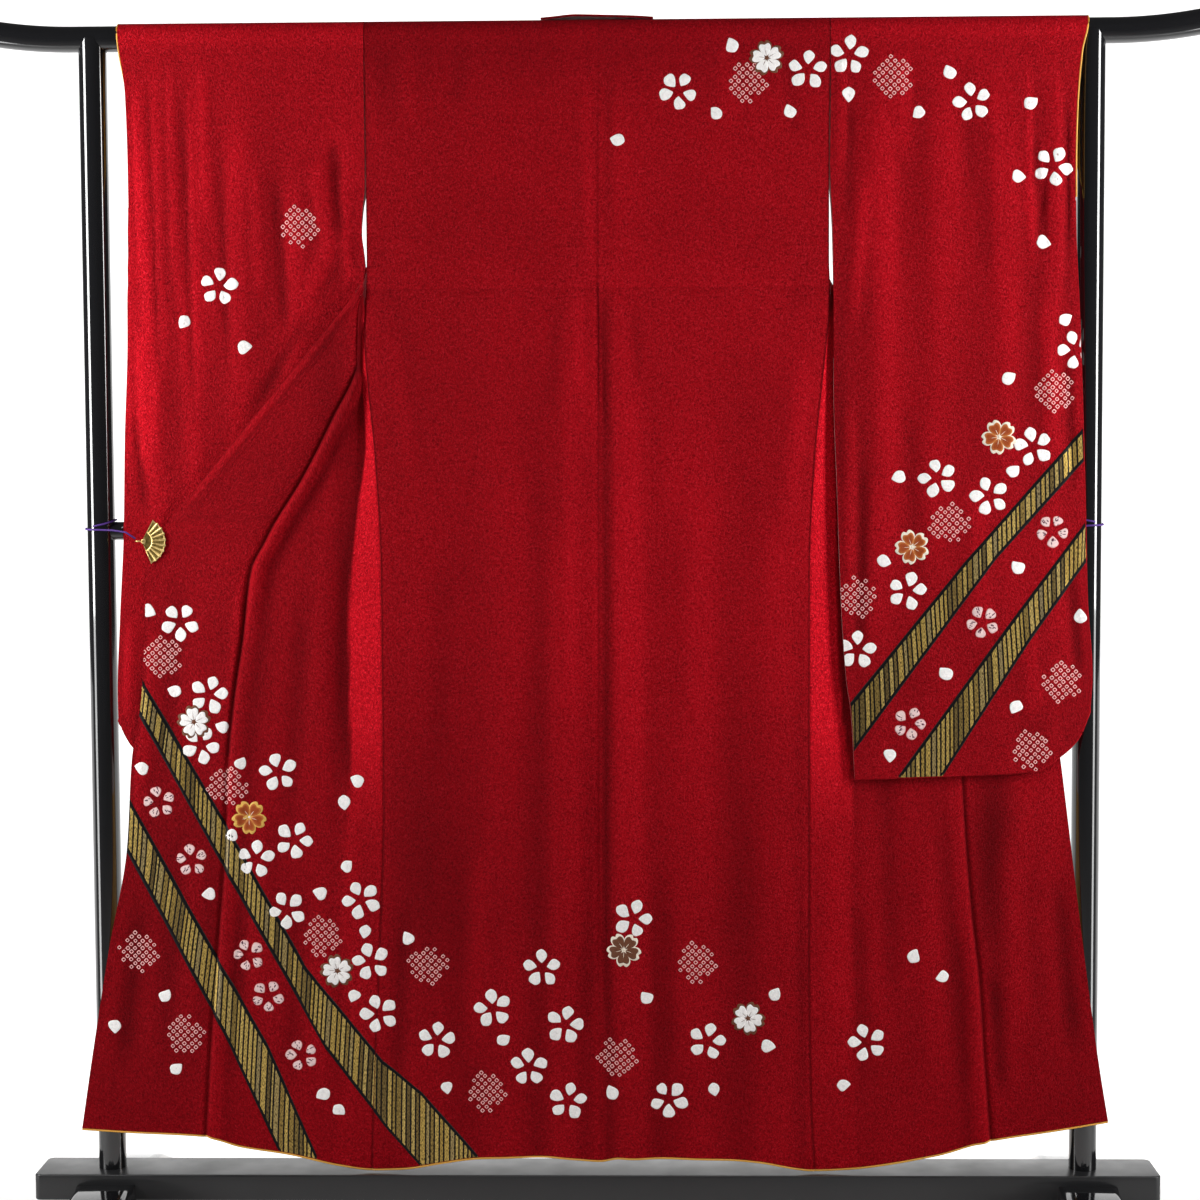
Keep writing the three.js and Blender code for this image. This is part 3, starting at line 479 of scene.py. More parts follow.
crepeLook = {
    # Its own red; the grain's lows in painted shade; the painted shade of folds and troughs; the painted glint on the
    # grain's tops
    "bright": (0.37, 0.0026, 0.0070),
    "deep": (0.20, 0.0012, 0.0040),
    "fold": (0.045, 0.0002, 0.0010),
    "spark": (0.52, 0.011, 0.022),
    "lit": (2.3, 2.6, 2.6),  # times the colour, on strips that catch the light
    "roughness": 0.7,
    "grainAcross": 440,      # grains for each metre across the cloth
    "grainDown": 350,        # and down it
    "grainHeight": 0.0024,   # metres
    "patch": (5.0, 0.84),    # broad unevenness: patches for each metre, and their darkest
    "gloss": {"Sheen Weight": 0.04, "Sheen Roughness": 0.4, "Sheen Tint": (1.0, 0.10, 0.14, 1),
              "Specular IOR Level": 0.15, "Specular Tint": (1.0, 0.16, 0.20, 1)},
}


# Crepe: pebbled grain from a warped noise on the cloth's own UV, in metres. The grain
# lifts the surface; its tops are painted light and its lows painted shade. The shade attribute
# paints shade into folds and troughs, and below 0 it paints light onto strips.
def crepeMaterial(name, look):
    material = newMaterial(name, look["bright"], look["roughness"], **look["gloss"])
    uv = coordinates(material, "UV")
    scaled = stretched(material, uv, look["grainAcross"], look["grainDown"])
    grain = noise(material, scaled, 1.0, 1.0, Roughness=0.5, Distortion=1.1)
    base = ramp(material, grain, [(0.32, look["deep"]), (0.54, look["bright"]), (0.76, look["spark"])])
    broadScale, darkest = look["patch"]
    patch = ramp(material, noise(material, uv, broadScale, 3.0), [(0.3, grey(darkest)), (0.7, grey(1))])
    toned = mixColor(material, 1.0, base, patch, "MULTIPLY")
    shade = shadeOf(material)
    # Painted light: where the shade attribute is below 0, the colour is brightened towards the lit strips.
    paintedLight = maths(material, "MULTIPLY", shade, -1.0, True)
    toned = mixColor(material, paintedLight, toned, (*look["lit"], 1), "MULTIPLY")
    link(material, mixColor(material, shade, toned, (*look["fold"], 1)), "Base Color")
    bumped(material, grain, 1.0, look["grainHeight"])
    return material


# A finely woven silk: threads as two crossed waves on the cloth's own UV.
def silkMaterial(name, color, dark, roughness):
    material = newMaterial(name, color, roughness)
    uv = coordinates(material, "UV")
    threads = [node(material, "ShaderNodeTexWave", {"Vector": uv, "Scale": 260, "Distortion": 0.6},
                    bands_direction=axis).outputs["Fac"] for axis in ("X", "Y")]
    broad = noise(material, uv, 14.0, 3.0)
    link(material, ramp(material, broad, [(0.25, dark), (0.75, color)]), "Base Color")
    bumped(material, maths(material, "MULTIPLY", *threads), 0.3, 0.0003)
    return material


# Undyed or embroidered cloth inside the pattern: a pebbled grain whose lows are darker as painted shade,
# tinted at the rim by the shade attribute, which is 1 on the outline.
def dyedMaterial(name, color, rim, roughness=0.75, rimFrom=0.72):
    material = newMaterial(name, color, roughness, **{"Specular IOR Level": 0.25})
    grain = noise(material, coordinates(material, "Object"), 300.0, 2.5, Distortion=0.9)
    low = tuple(0.87 * part for part in color)
    base = ramp(material, grain, [(0.34, low), (0.6, color)])
    edge = ramp(material, shadeOf(material), [(rimFrom, grey(0)), (1.0, grey(1))])
    link(material, mixColor(material, edge, base, (*rim, 1)), "Base Color")
    bumped(material, grain, 0.7, 0.001)
    return material


stripeLook = {
    "color": (0.42, 0.28, 0.08),
    "lines": 150.0,          # for each metre across the band
    "uneven": 0.8,
    "lineShare": 0.17,       # how much of a stripe its dark line takes
    "dark": (0.004, 0.0035, 0.004, 1),
    "gold": [(0.0, (0.16, 0.11, 0.04)), (0.3, (0.50, 0.33, 0.08)), (0.75, (0.62, 0.44, 0.13)),
             (1.0, (0.24, 0.19, 0.11))],
    "fleck": [(0.38, (0.18, 0.17, 0.15)), (0.58, (1.38, 1.38, 1.38))],
    "fleckGrain": (1500, 260),
    "metal": 0.55,
}


# Gold-threaded stripes: uneven dark lines along the warp, where a cell pattern of one
# dimension across the cloth has its borders, and a dark outline by the shade attribute.
def stripedMaterial(name, look):
    material = newMaterial(name, look["color"], 0.42, **{"Specular IOR Level": 0.15})
    uv = coordinates(material, "UV")
    across = node(material, "ShaderNodeSeparateXYZ", {"Vector": uv}).outputs["X"]

    def cells(feature):
        values = {"W": across, "Scale": look["lines"], "Randomness": look["uneven"]}
        made = node(material, "ShaderNodeTexVoronoi", values, voronoi_dimensions="1D", feature=feature)
        return made.outputs

    line = maths(material, "LESS_THAN", cells("DISTANCE_TO_EDGE")["Distance"], look["lineShare"])
    tone = node(material, "ShaderNodeSeparateColor", {"Color": cells("F1")["Color"]}).outputs["Red"]
    fleck = noise(material, stretched(material, uv, *look["fleckGrain"]), 1.0, 2.0)
    gold, lit = ramp(material, tone, look["gold"]), ramp(material, fleck, look["fleck"])
    dark = maths(material, "MAXIMUM", line, maths(material, "GREATER_THAN", shadeOf(material), 0.5))
    thread = mixColor(material, 1.0, gold, lit, "MULTIPLY")
    link(material, mixColor(material, dark, thread, look["dark"]), "Base Color")
    link(material, maths(material, "SUBTRACT", look["metal"], dark, True), "Metallic")
    bumped(material, fleck, 0.5, 0.0005)
    return material


# Lacquer: near-black gloss under a clear coat, with a faint waviness.
def lacquerMaterial(name, color, roughness, coat, waviness):
    material = newMaterial(name, color, roughness, **{"Coat Weight": coat, "Coat Roughness": 0.04})
    broad = noise(material, coordinates(material, "Object"), 16.0, 3.0)
    bumped(material, broad, 0.08, waviness)
    uneven = ramp(material, broad, [(0.3, grey(roughness * 0.8)), (0.8, grey(roughness * 1.3))])
    link(material, uneven, "Roughness")
    return material


def goldMaterial(name, low, high):
    material = newMaterial(name, high, 0.28, Metallic=0.82)
    broad = noise(material, coordinates(material, "Object"), 420.0, 3.0)
    link(material, ramp(material, broad, [(0.3, grey(0.28)), (0.8, grey(0.48))]), "Roughness")
    link(material, ramp(material, broad, [(0.25, low), (0.6, high)]), "Base Color")
    return material


crepe = crepeMaterial("redCrepe", crepeLook)
lining = silkMaterial("paleLining", (0.74, 0.60, 0.57), (0.60, 0.46, 0.45), 0.55)
hakkake = silkMaterial("mustardLining", (0.82, 0.41, 0.05), (0.66, 0.31, 0.035), 0.5)
undyed = dyedMaterial("undyedCrepe", (0.97, 0.94, 0.92), (0.86, 0.62, 0.60), 0.75, 0.9)
dotted = dyedMaterial("tieDyedDots", (0.88, 0.46, 0.45), (0.62, 0.20, 0.20))
orange = dyedMaterial("orangeEmbroidery", (0.34, 0.058, 0.008), (0.56, 0.19, 0.04), 0.55, 0.6)
cream = dyedMaterial("creamEmbroidery", (0.90, 0.80, 0.66), (0.7, 0.5, 0.36), 0.6)
ochre = dyedMaterial("ochreEmbroidery", (0.78, 0.46, 0.10), (0.52, 0.27, 0.05), 0.45)
spots = dyedMaterial("darkSpots", (0.10, 0.02, 0.05), (0.2, 0.02, 0.05))
brown = dyedMaterial("brownEmbroidery", (0.16, 0.055, 0.025), (0.10, 0.03, 0.02), 0.55)
pinkish = dyedMaterial("pinkCrepe", (0.84, 0.62, 0.60), (0.72, 0.30, 0.30))
striped = stripedMaterial("goldStripes", stripeLook)
lacquer = lacquerMaterial("blackLacquer", (0.006, 0.006, 0.007), 0.10, 1.0, 0.0006)
boardLacquer = lacquerMaterial("satinLacquer", (0.012, 0.012, 0.013), 0.38, 0.25, 0.0004)
brightGold = goldMaterial("gold", (0.55, 0.36, 0.10), (0.84, 0.63, 0.26))
oldGold = goldMaterial("darkGold", (0.20, 0.13, 0.03), (0.38, 0.26, 0.07))
cordSilk = silkMaterial("purpleCord", (0.085, 0.02, 0.25), (0.05, 0.012, 0.16), 0.6)
print("stage: materials")

# ---- the cloth's driving values ----

cloth = {
    "cell": 5.2,             # size of a mesh cell
    "edgeCells": (1.2, 2.8, 4.8, 7.0, 9.5),     # closer cells beside the long edges
    "halfThickness": 0.9,    # of the lined cloth
    "collarHalf": 1.3,       # of the folded collar
    "railHeight": 1672.7,    # middle of the top rail
    "ridgeRadius": 19.3,     # middle of the cloth over the rail
    "ridgeSteps": 10,
    "mustardTop": 640,       # below it the lining inside is mustard
    "cuffLining": (560, 590),    # and farther out than this in the left and right sleeve
}
railHeight = cloth["railHeight"]
pastSeam = 0.1               # how far panels reach past a seam that they share

# z, left side seam, centre seam, right side seam, depth
backTable = [
    (1672.7, -303, 12, 323, -19.3), (1498, -302, 11, 321, -20.5), (1361, -302, 10, 321, -20.8),
    (1306, -304.6, 10, 321, -21), (1259, -305, 10, 317, -21.2), (1203, -301, 10, 311, -21.4),
    (1101, -292, 9.5, 301, -21.7), (945, -285.5, 9, 294, -22.2), (640, -286, 8, 294, -23),
    (430, -294, 7, 294, -24), (221, -305, 7, 297, -25), (125, -308, 7, 302, -26),
]
backLeftLine, backCentreLine, backRightLine, backDepthLine = columns(backTable)

# Soft folds of the back: x at the top, x at the hem, z where it starts, width, depth
backFolds = [
    (-215, -228, 1250, 40, 6), (-112, -120, 1500, 44, 5), (-34, -46, 1320, 24, 7),
    (44, 54, 1420, 26, 8), (152, 148, 1350, 42, 5), (250, 244, 1250, 36, 7),
]

hemLine = curve([
    (-712, 180), (-650, 176), (-539, 170), (-491, 156), (-422, 145), (-352, 129), (-306, 122.5),
    (-269, 124), (-214, 133), (-145, 140), (-62, 142), (7, 135), (35, 140), (145, 139),
    (227, 135), (302, 122.5), (351, 125), (470, 144), (536, 163), (638, 179), (710, 191),
])
hemShows = 3.0               # how far the hem lining stands below the crepe

# Main creases of the back: x, z at one end, x, z at the other, width, height
backCreases = [
    (-4, 1640, 2, 1330, 9, 2.2), (26, 1650, 24, 1380, 8, -1.6),
    (-18, 1345, -14, 1180, 7, 1.8), (14, 1335, 20, 1120, 5, -2.4), (34, 1340, 44, 1150, 8, 2.0),
    (60, 1320, 66, 1190, 7, -1.2), (-44, 1330, -58, 1150, 10, -1.4),
    (-296, 1660, -286, 1500, 9, 1.2), (-250, 1672, -236, 1540, 14, 1.4), (-170, 1672, -180, 1560, 12, -1.0),
    (180, 1672, 190, 1530, 13, 1.3), (262, 1665, 280, 1510, 12, -1.5),
    (-300, 1420, -240, 1250, 16, -0.7), (-270, 1300, -238, 1030, 12, 1.2), (304, 1400, 250, 1240, 16, -0.7),
    (290, 1250, 262, 980, 12, 1.8), (-200, 1000, -214, 640, 22, -2.2), (-90, 1120, -100, 700, 26, 1.6),
    (110, 1080, 118, 690, 24, -1.8), (206, 980, 214, 560, 22, 2.0), (-150, 620, -168, 240, 18, 2.4),
    (-258, 520, -276, 200, 14, -2.2), (92, 560, 98, 220, 18, -2.4), (262, 560, 270, 200, 14, 2.2),
    (8, 900, 7, 320, 11, -2.6), (30, 760, 36, 260, 12, 1.8), (-24, 700, -34, 300, 12, 1.8),
]


def softFolds(folds, x, z):
    drop = np.clip((railHeight - z) / railHeight, 0, 1)
    return sum(depth * smooth((start - z) / 500) * bell((x - mix(top, low, drop)) / width)
               for top, low, start, width, depth in folds)


tuckHeight = 1333.0          # a fine tuck sewn across the back

# Beside both side seams the back stands forward in a long soft swell.
seamSwell = curve([(1330, 0), (1180, 6.0), (900, 7.0), (650, 4.5), (420, 1), (130, 0)])

# The centre seam lies deep only just below the tuck.
centreSeam = curve([(1672, 0.35), (1345, 0.35), (1330, 1.2), (1200, 1.2), (1150, 0.5), (130, 0.5)])


# The cloth above the tuck stands forward at it, and each seam is a fine groove.
def backDepth(x, z):
    fromLeft, fromCentre, fromRight = x - backLeftLine(z), x - backCentreLine(z), x - backRightLine(z)
    tuck = 1.1 * smooth((z - tuckHeight + 1.2) / 2.4) * smooth((tuckHeight + 90 - z) / 80)
    swell = seamSwell(z) * (bell(fromLeft / 60) + 0.8 * bell(fromRight / 60))
    seams = centreSeam(z) * bell(fromCentre / 1.9)
    seams = seams + smooth((1345 - z) / 40) * (bell(fromLeft / 1.9) + bell(fromRight / 1.9))
    folded = backDepthLine(z) - softFolds(backFolds, x, z) - creaseDepth(backCreases, x, z)
    return folded - tuck - swell + seams


# z, inner edge, outer edge, depth, how far the two halves stand apart
leftSleeveTable = [
    (1692, -303.5, -636, -19.3, 36.3), (1672.7, -303.5, -635, -19.3, 36.3), (1593, -303.4, -626, -19.9, 31),
    (1498, -303.2, -624, -20.4, 23), (1466, -303.6, -624, -20.4, 19), (1440, -306.8, -624, -20.4, 16),
    (1408, -308.2, -625, -20.4, 13), (1382, -305.6, -625, -20.4, 11), (1361, -304.2, -626, -20.4, 8),
    (1345, -307.6, -626, -20.4, 7), (1325, -319, -627, -20.4, 5.5), (1261, -322, -628, -20.3, 4),
    (1131, -322, -634, -20.2, 3), (1001, -322, -638, -20, 2.2), (887, -322, -645, -20, 2),
    (782, -322, -650, -20, 1.8), (668, -322, -648, -20, 1.6),
]
rightSleeveTable = [
    (1692, 323.5, 667, -19.3, 36.3), (1672.7, 323.5, 664, -19.3, 36.3), (1642, 323.4, 657, -19.7, 34),
    (1557, 322.7, 651, -20.4, 28), (1498, 321.9, 650, -21, 23), (1407, 325.6, 651, -22, 12),
    (1303, 327, 656, -23.5, 4.5), (1203, 327, 660, -25.5, 3), (1049, 332, 665, -28, 2.2),
    (910, 337, 669, -29, 2), (805, 344, 676, -29.6, 1.8), (754, 351, 673, -30, 1.7),
    (666, 356, 669, -30.5, 1.6),
]
leftSleeveBottom = curve([(0, 668), (0.4, 670), (0.77, 676), (0.88, 692), (0.95, 714), (1, 746)])
rightSleeveBottom = curve([(0, 666), (0.39, 670), (0.77, 676), (0.885, 697), (0.96, 722), (1, 757)])
leftSleeveFolds = [
    (-588, -592, 1960, 15, 3), (-540, -545, 1960, 13, 2.5), (-470, -500, 1700, 20, 3),
    (-395, -420, 1640, 18, 2.5),
]
rightSleeveFolds = [
    (395, 392, 1940, 20, 3), (470, 476, 1960, 26, 2.5), (560, 566, 1920, 22, 3), (618, 628, 1800, 14, 2.5),
]
cuffBottom = 1445.0

leftSleeveCreases = [
    (-612, 1640, -606, 1320, 5, 1.6), (-596, 1650, -586, 1180, 5, -2.0), (-566, 1660, -560, 1290, 6, 1.8),
    (-548, 1640, -540, 1120, 5, -1.8), (-522, 1655, -518, 1400, 7, 1.4), (-500, 1560, -492, 1210, 6, -1.2),
    (-452, 1520, -446, 1300, 8, 1.4), (-425, 1500, -412, 1250, 7, -1.6), (-372, 1510, -352, 1380, 10, 2.2),
    (-348, 1540, -332, 1390, 7, -2.6), (-338, 1500, -324, 1330, 6, 2.0), (-345, 1420, -392, 1270, 14, 2.0),
    (-332, 1385, -470, 1150, 9, -1.2), (-610, 1300, -606, 1060, 7, 1.8), (-622, 1180, -606, 1020, 5, -1.4),
    (-590, 1230, -596, 1060, 6, 1.2), (-630, 900, -640, 740, 8, 1.6),
]
rightSleeveCreases = [
    (338, 1660, 336, 1480, 6, 1.6), (352, 1600, 346, 1400, 7, -1.0), (372, 1500, 352, 1250, 9, 1.4),
    (420, 1660, 424, 1480, 12, 1.0), (500, 1660, 512, 1420, 12, -0.8), (540, 1640, 548, 1300, 8, 1.0),
    (585, 1650, 594, 1330, 5, 1.4), (594, 1545, 604, 1380, 3.5, -1.6), (616, 1530, 604, 1400, 3.5, -1.6),
    (607, 1480, 612, 1360, 3.5, -1.4), (624, 1650, 630, 1280, 6, 1.5), (638, 1600, 642, 1350, 4, -1.2),
    (608, 1330, 622, 1090, 8, 1.6), (640, 1260, 650, 1040, 6, -1.6),
    (350, 1200, 344, 860, 9, 2.2), (368, 1120, 362, 800, 8, -1.8), (520, 1100, 530, 830, 18, 1.4),
    (430, 1200, 438, 900, 18, -1.4), (646, 960, 660, 790, 8, -1.8), (590, 900, 600, 730, 14, 1.4),
]

# z, then x and y of the side seam, of the okumi seam and of the free edge
leftFrontTable = [
    (1672.7, -303, 19.3, -112, 19.3, -66, 19.3), (1600, -302.8, 13.9, -160, 19.3, -116, 19.3),
    (1498, -302.2, 4.8, -227, 17, -189, 19), (1440, -302.7, 2.5, -266, 11, -234, 14),
    (1400, -303, 1, -288, 3, -266, 3), (1370, -303.2, -1, -301, -5.5, -299, -10),
    (1355, -303.4, -3, -304, -9.5, -304.9, -16), (1345, -304.2, -6, -305, -13.5, -307, -21.5),
    (1336, -304.7, -9.5, -306.4, -18, -310, -26.5), (1325, -305.2, -14, -309, -22, -319, -27.5),
    (1310, -305.6, -18.5, -312.5, -25.4, -330, -27.5), (1290, -305.8, -21.1, -314, -25.6, -347, -27.5),
    (1237, -305, -21.2, -316, -25.6, -392, -27.5), (1156, -297, -21.5, -352, -25.6, -461, -27.5),
    (1076, -290, -21.8, -394, -25.6, -528, -27.5), (1016, -288, -22, -432, -25.6, -579, -27.5),
    (990, -287, -22.1, -446, -25.6, -600, -27.2), (954, -286, -22.2, -464, -25.6, -606, -27),
    (859, -286, -22.4, -477, -25.6, -611, -27), (777, -286, -22.6, -490, -25.8, -617, -27),
    (695, -286, -23, -499, -26, -631, -27), (571, -287, -23.3, -505, -26.5, -640, -27.5),
    (433, -294, -24, -517, -27, -667, -28), (293, -301, -24.6, -529, -28, -691, -29),
    (173, -307, -25.6, -537, -29, -710, -30),
]
rightFrontTable = [
    (1672.7, 323, 19.3, 132, 19.3, 86, 19.3), (1600, 322.3, 14.3, 179, 19.3, 135, 19.3),
    (1498, 321.1, 4.3, 244, 18, 206, 20), (1440, 321.4, 1, 284, 15, 251, 19),
    (1400, 321.4, -2, 306, 11, 284, 17), (1370, 321.4, -6, 316, 6, 308, 14.5),
    (1345, 321.9, -11, 321.5, 0, 323, 9), (1325, 322, -16, 324.5, -4, 333, 4),
    (1310, 321.9, -19.5, 327, -6.5, 345, -1), (1290, 320.6, -21.1, 330, -8.5, 364, -6),
    (1237, 315, -21.3, 336, -9.5, 408, -9), (1156, 307, -21.5, 368, -11.5, 477, -11.5),
    (1076, 299, -21.8, 410, -13.5, 544, -13.5), (1016, 296, -22, 446, -14.8, 594, -14.8),
    (954, 294, -22.2, 474, -15.2, 617, -15.2), (859, 294, -22.4, 488, -17, 620, -17),
    (777, 294, -22.6, 496, -20, 625, -20), (665, 294, -23, 503, -22.5, 639, -22.5),
    (593, 294, -23.2, 507, -23.4, 648, -23.4), (488, 294, -23.7, 516, -24, 661, -24),
    (381, 294, -24.2, 528, -25, 675, -25), (275, 296, -24.8, 535, -26, 690, -26),
    (160, 301, -25.7, 544, -27, 709, -27),
]
leftRoll = curve([(1310, 0), (1156, 8), (954, 8), (859, 4.5), (173, 3)])
rightRoll = curve([(700, 0), (560, 3), (160, 5)])
collarWidth = curve([(1325, 9.5), (1316, 10.5), (1290, 14), (1237, 21), (1020, 23)])
okumiTop, okumiShoulder, collarEnd = 1324.0, 1030.0, 1019.0

# How far the valley of each front lies from its side seam, and its depth, by height
valleys = {
    "Left": (curve([(1300, 3), (1190, 9), (1130, 12), (1090, 18), (1045, 28), (920, 45), (859, 47),
                    (700, 46), (600, 50)]),
             curve([(1300, -20.6), (1156, -18.6), (860, -18.0), (700, -20.5), (560, -25.0), (130, -28)])),
    "Right": (curve([(1310, 5), (1275, 11), (1205, 20), (1090, 31), (945, 38), (800, 42), (640, 60)]),
              curve([(1300, -14), (1156, -15), (945, -17), (800, -19), (640, -23), (500, -24),
                     (130, -27)])),
}

leftFrontCreases = [
    (-350, 1010, -372, 700, 16, 2.4), (-392, 960, -420, 560, 16, -2.0),
    (-330, 760, -340, 330, 18, 1.8), (-452, 700, -470, 300, 14, 2.2), (-400, 560, -420, 220, 18, -2.4),
    (-344, 480, -352, 200, 14, -2.0), (-484, 480, -500, 240, 12, -1.6),
]
rightFrontCreases = [
    (330, 620, 336, 300, 20, 2.4), (398, 760, 410, 300, 18, -2.4),
    (452, 640, 470, 230, 16, 2.2), (360, 520, 372, 210, 16, -1.8), (496, 480, 508, 220, 12, -1.8),
]
okumiCreases = [
    (-470, 960, -486, 700, 16, 2.0), (-560, 960, -585, 640, 18, -2.0), (-600, 900, -632, 560, 12, 1.8),
    (-540, 620, -566, 280, 20, 2.2), (-620, 520, -655, 240, 18, -2.0), (560, 620, 590, 280, 22, 2.2),
    (630, 560, 662, 260, 16, -2.0), (545, 420, 560, 210, 12, -1.6),
]


# ---- panels ----


# Rows are level in a panel's upper half and bend to its lower edge in the other.
def rowHeight(t, top, low, mean):
    return mix(top, mean, t) + (low - mean) * smooth((t - 0.5) * 2)


# A panel's middle surface. u runs across it between two lines, rows run down it from the
# ridge (an arc over the rail) or from its top. lines(z) gives x at u = 0 and u = 1,
# bottom(u) the height of its lower edge, depth(x, z, u, low) its y.
def layPanel(lines, bottom, depth, side=0, top=railHeight, rowsAt=()):
    probe = np.linspace(0, 1, 9)
    x0, x1 = lines(np.linspace(float(np.min(bottom(probe))) + 5, top, 40))
    wide = max(int(np.abs(x1 - x0).max() / cloth["cell"]) + 1, 8)
    tall = int((top - float(np.mean(bottom(probe)))) / cloth["cell"]) + 1
    fine = np.array(cloth["edgeCells"]) / np.abs(x1 - x0).max()
    u = np.unique(np.concatenate([np.linspace(0, 1, wide + 1), fine, 1 - fine]))[None, :]
    low = bottom(u)
    mean = float(low.mean())
    level = (top - np.array(rowsAt)) / (top - mean)
    t = np.unique(np.concatenate([np.linspace(0, 1, tall + 1), level]))[:, None]
    z = rowHeight(t, top, low, mean)
    x = mix(*lines(z), u)
    points = np.stack([x, depth(x, z, u, low), z], -1)
    over = 0
    if side:
        over = cloth["ridgeSteps"]
        turn = np.linspace(0, math.pi / 2, over, endpoint=False)[:, None]
        ridgeZ = railHeight + cloth["ridgeRadius"] * np.cos(turn) + 0 * u
        ridgeY = side * cloth["ridgeRadius"] * np.sin(turn) + 0 * u
        points = np.concatenate([np.stack([mix(*lines(ridgeZ), u), ridgeY, ridgeZ], -1), points])
    return {"points": points, "over": over, "lines": lines, "bottom": bottom, "top": top, "u": u[0],
            "t": t[:, 0], "mean": mean}


# Makes the closed shell of a panel: its two faces half a thickness to each side, and a
# rim. Its outer face looks along across x down, or the other way with flip. front is
# -1 where most of it looks towards -y. Inside it is lined, with mustard where zone says
# so, and with none in the panel's plain part (lowest, highest, farthest out).
def shellPiece(name, panel, flip, front, zone=None, half=None):
    points, half = panel["points"], half or cloth["halfThickness"]
    rows, wide = points.shape[:2]
    x, z = points[..., 0], points[..., 2]
    normal = gridNormals(points) * (-1 if flip else 1)
    outer, inner = points + normal * half, points - normal * half
    faces = shellFaces(rows, wide, flip)
    across, down = distances(points, 1), distances(points)
    across = across - across[:, wide // 2][:, None]
    uv = gridUv(across, -down)
    # Painted shade: troughs are darker by how far a point lies behind its surroundings, and
    # ridges get painted light. The creases of the seams get painted shade, by the distance from the panel's two long
    # edges.
    behind = hollows(points[..., 1], front)
    # A panel's tone adds its own painted light and shade.
    if "tone" in panel:
        behind = panel["tone"](x, z, behind)
    for edge, (most, width, low, high) in panel.get("seams", {}).items():
        most = most(z) if callable(most) else most
        away = np.linalg.norm(points - points[:, [edge]], axis=2)
        behind = mix(behind, most, bell(away / width) * ((z > low) & (z < high)))
    inside = np.ones((rows - 1, wide - 1), int)
    if zone is not None:
        inside[zone(x, z)[:-1, :-1]] = 2
    if "plain" in panel:
        low, high, reach = panel["plain"]
        inside[((z > low) & (z < high) & (np.abs(x) < reach))[:-1, :-1]] = 0
    kinds = np.zeros(len(faces), int)
    kinds[inside.size:2 * inside.size] = inside.ravel()
    piece = meshPiece(name, np.concatenate([outer.reshape(-1, 3), inner.reshape(-1, 3)]), faces,
                      [crepe, lining, hakkake], kinds, np.concatenate([uv, uv]), np.tile(behind.ravel(), 2))
    sharpEdges(piece, 50)
    panel.update(outer=outer, normal=normal, across=across, down=down, piece=piece)
    return piece


# How deep each point of a grid lies below a blurred copy of it, from 0 to 1, as painted shade in troughs; below 0 it
# is painted light on ridges.
def hollows(y, front):
    blurred = y
    for axis in (0, 1):
        for _ in range(3):
            padded = np.pad(blurred, [(3, 3) if k == axis else (0, 0) for k in (0, 1)], mode="edge")
            blurred = sum(np.take(padded, np.arange(k, k + y.shape[axis]), axis=axis) for k in range(7)) / 7
    return np.clip((blurred - y) * front / 2.8, -0.22, 0.55)


# A place (x, z) of a panel as fractions of its grid, and then a point on its outer face
# raised by lift: the mean of the four grid points around it by nearness.
def onPanel(panel, x, z, lift):
    x0, x1 = panel["lines"](z)
    u = np.clip((x - x0) / (x1 - x0), 0.0, 1.0)
    low = panel["bottom"](u)
    top, mean = panel["top"], panel["mean"]
    t = (top - z) / (top - mean)
    for _ in range(6):
        t = (top - z + (low - mean) * smooth((t - 0.5) * 2)) / (top - mean)
    rows, wide = panel["outer"].shape[:2]
    j = panel["over"] + np.interp(t, panel["t"], np.arange(len(panel["t"])))
    i = np.interp(u, panel["u"], np.arange(wide))
    j0, i0 = np.minimum(j.astype(int), rows - 2), np.minimum(i.astype(int), wide - 2)
    fj, fi = (j - j0)[..., None], (i - i0)[..., None]

    def read(grid):
        return (grid[j0, i0] * (1 - fj) * (1 - fi) + grid[j0, i0 + 1] * (1 - fj) * fi
                + grid[j0 + 1, i0] * fj * (1 - fi) + grid[j0 + 1, i0 + 1] * fj * fi)

    point = read(panel["outer"]) + read(panel["normal"]) * np.asarray(lift)[..., None]
    across, down = read(panel["across"][..., None]), read(panel["down"][..., None])
    uv = np.concatenate([across, -down], -1) * millimetre
    return point, uv


panels = {}
sheets = {}                  # each panel's cut
extras = {}                  # the separate pieces on it


# Painted shade of the back, by height: along its centre seam, and in the narrow pleat that runs
# down beside it from the tuck.
centreSeamShade = curve([(1672, 0.3), (1345, 0.3), (1330, 0.8), (1210, 0.8), (1150, 0.35), (130, 0.35)])
pleatShade = curve([
    (1335, 0.0), (1310, 0.26), (1160, 0.36), (960, 0.42), (700, 0.46), (540, 0.34), (300, 0.12), (130, 0.08),
])

# Soft patches of shade (above 0) and light on the cloth: x, z, half width, half height, amount
backPatches = [
    (0, 1695, 900, 105, 0.34), (-228, 550, 36, 250, 0.42), (-45, 1060, 8, 200, 0.16),
    (58, 950, 80, 400, -0.20), (-14, 960, 18, 330, -0.12), (215, 520, 40, 220, 0.12),
    (288, 1090, 24, 140, -0.20),
]
leftSleevePatches = [(-400, 1400, 24, 80, -0.24), (-529, 1340, 30, 240, -0.18), (-486, 1480, 28, 90, -0.24)]
rightSleevePatches = [
    (373, 1400, 22, 120, -0.24), (416, 1330, 25, 260, -0.30), (502, 1440, 22, 110, -0.20),
    (588, 1440, 18, 120, -0.20), (334, 1170, 12, 140, 0.30),
]
frontPatches = [
    (-357, 1250, 26, 100, 0.26), (-480, 940, 60, 70, -0.18), (-570, 470, 90, 190, 0.12),
    (545, 590, 22, 110, 0.36), (590, 640, 20, 130, -0.28), (628, 640, 20, 220, -0.20),
]


def patches(places, x, z):
    return sum(amount * bell((x - px) / wide) * bell((z - pz) / tall)
               for px, pz, wide, tall, amount in places)


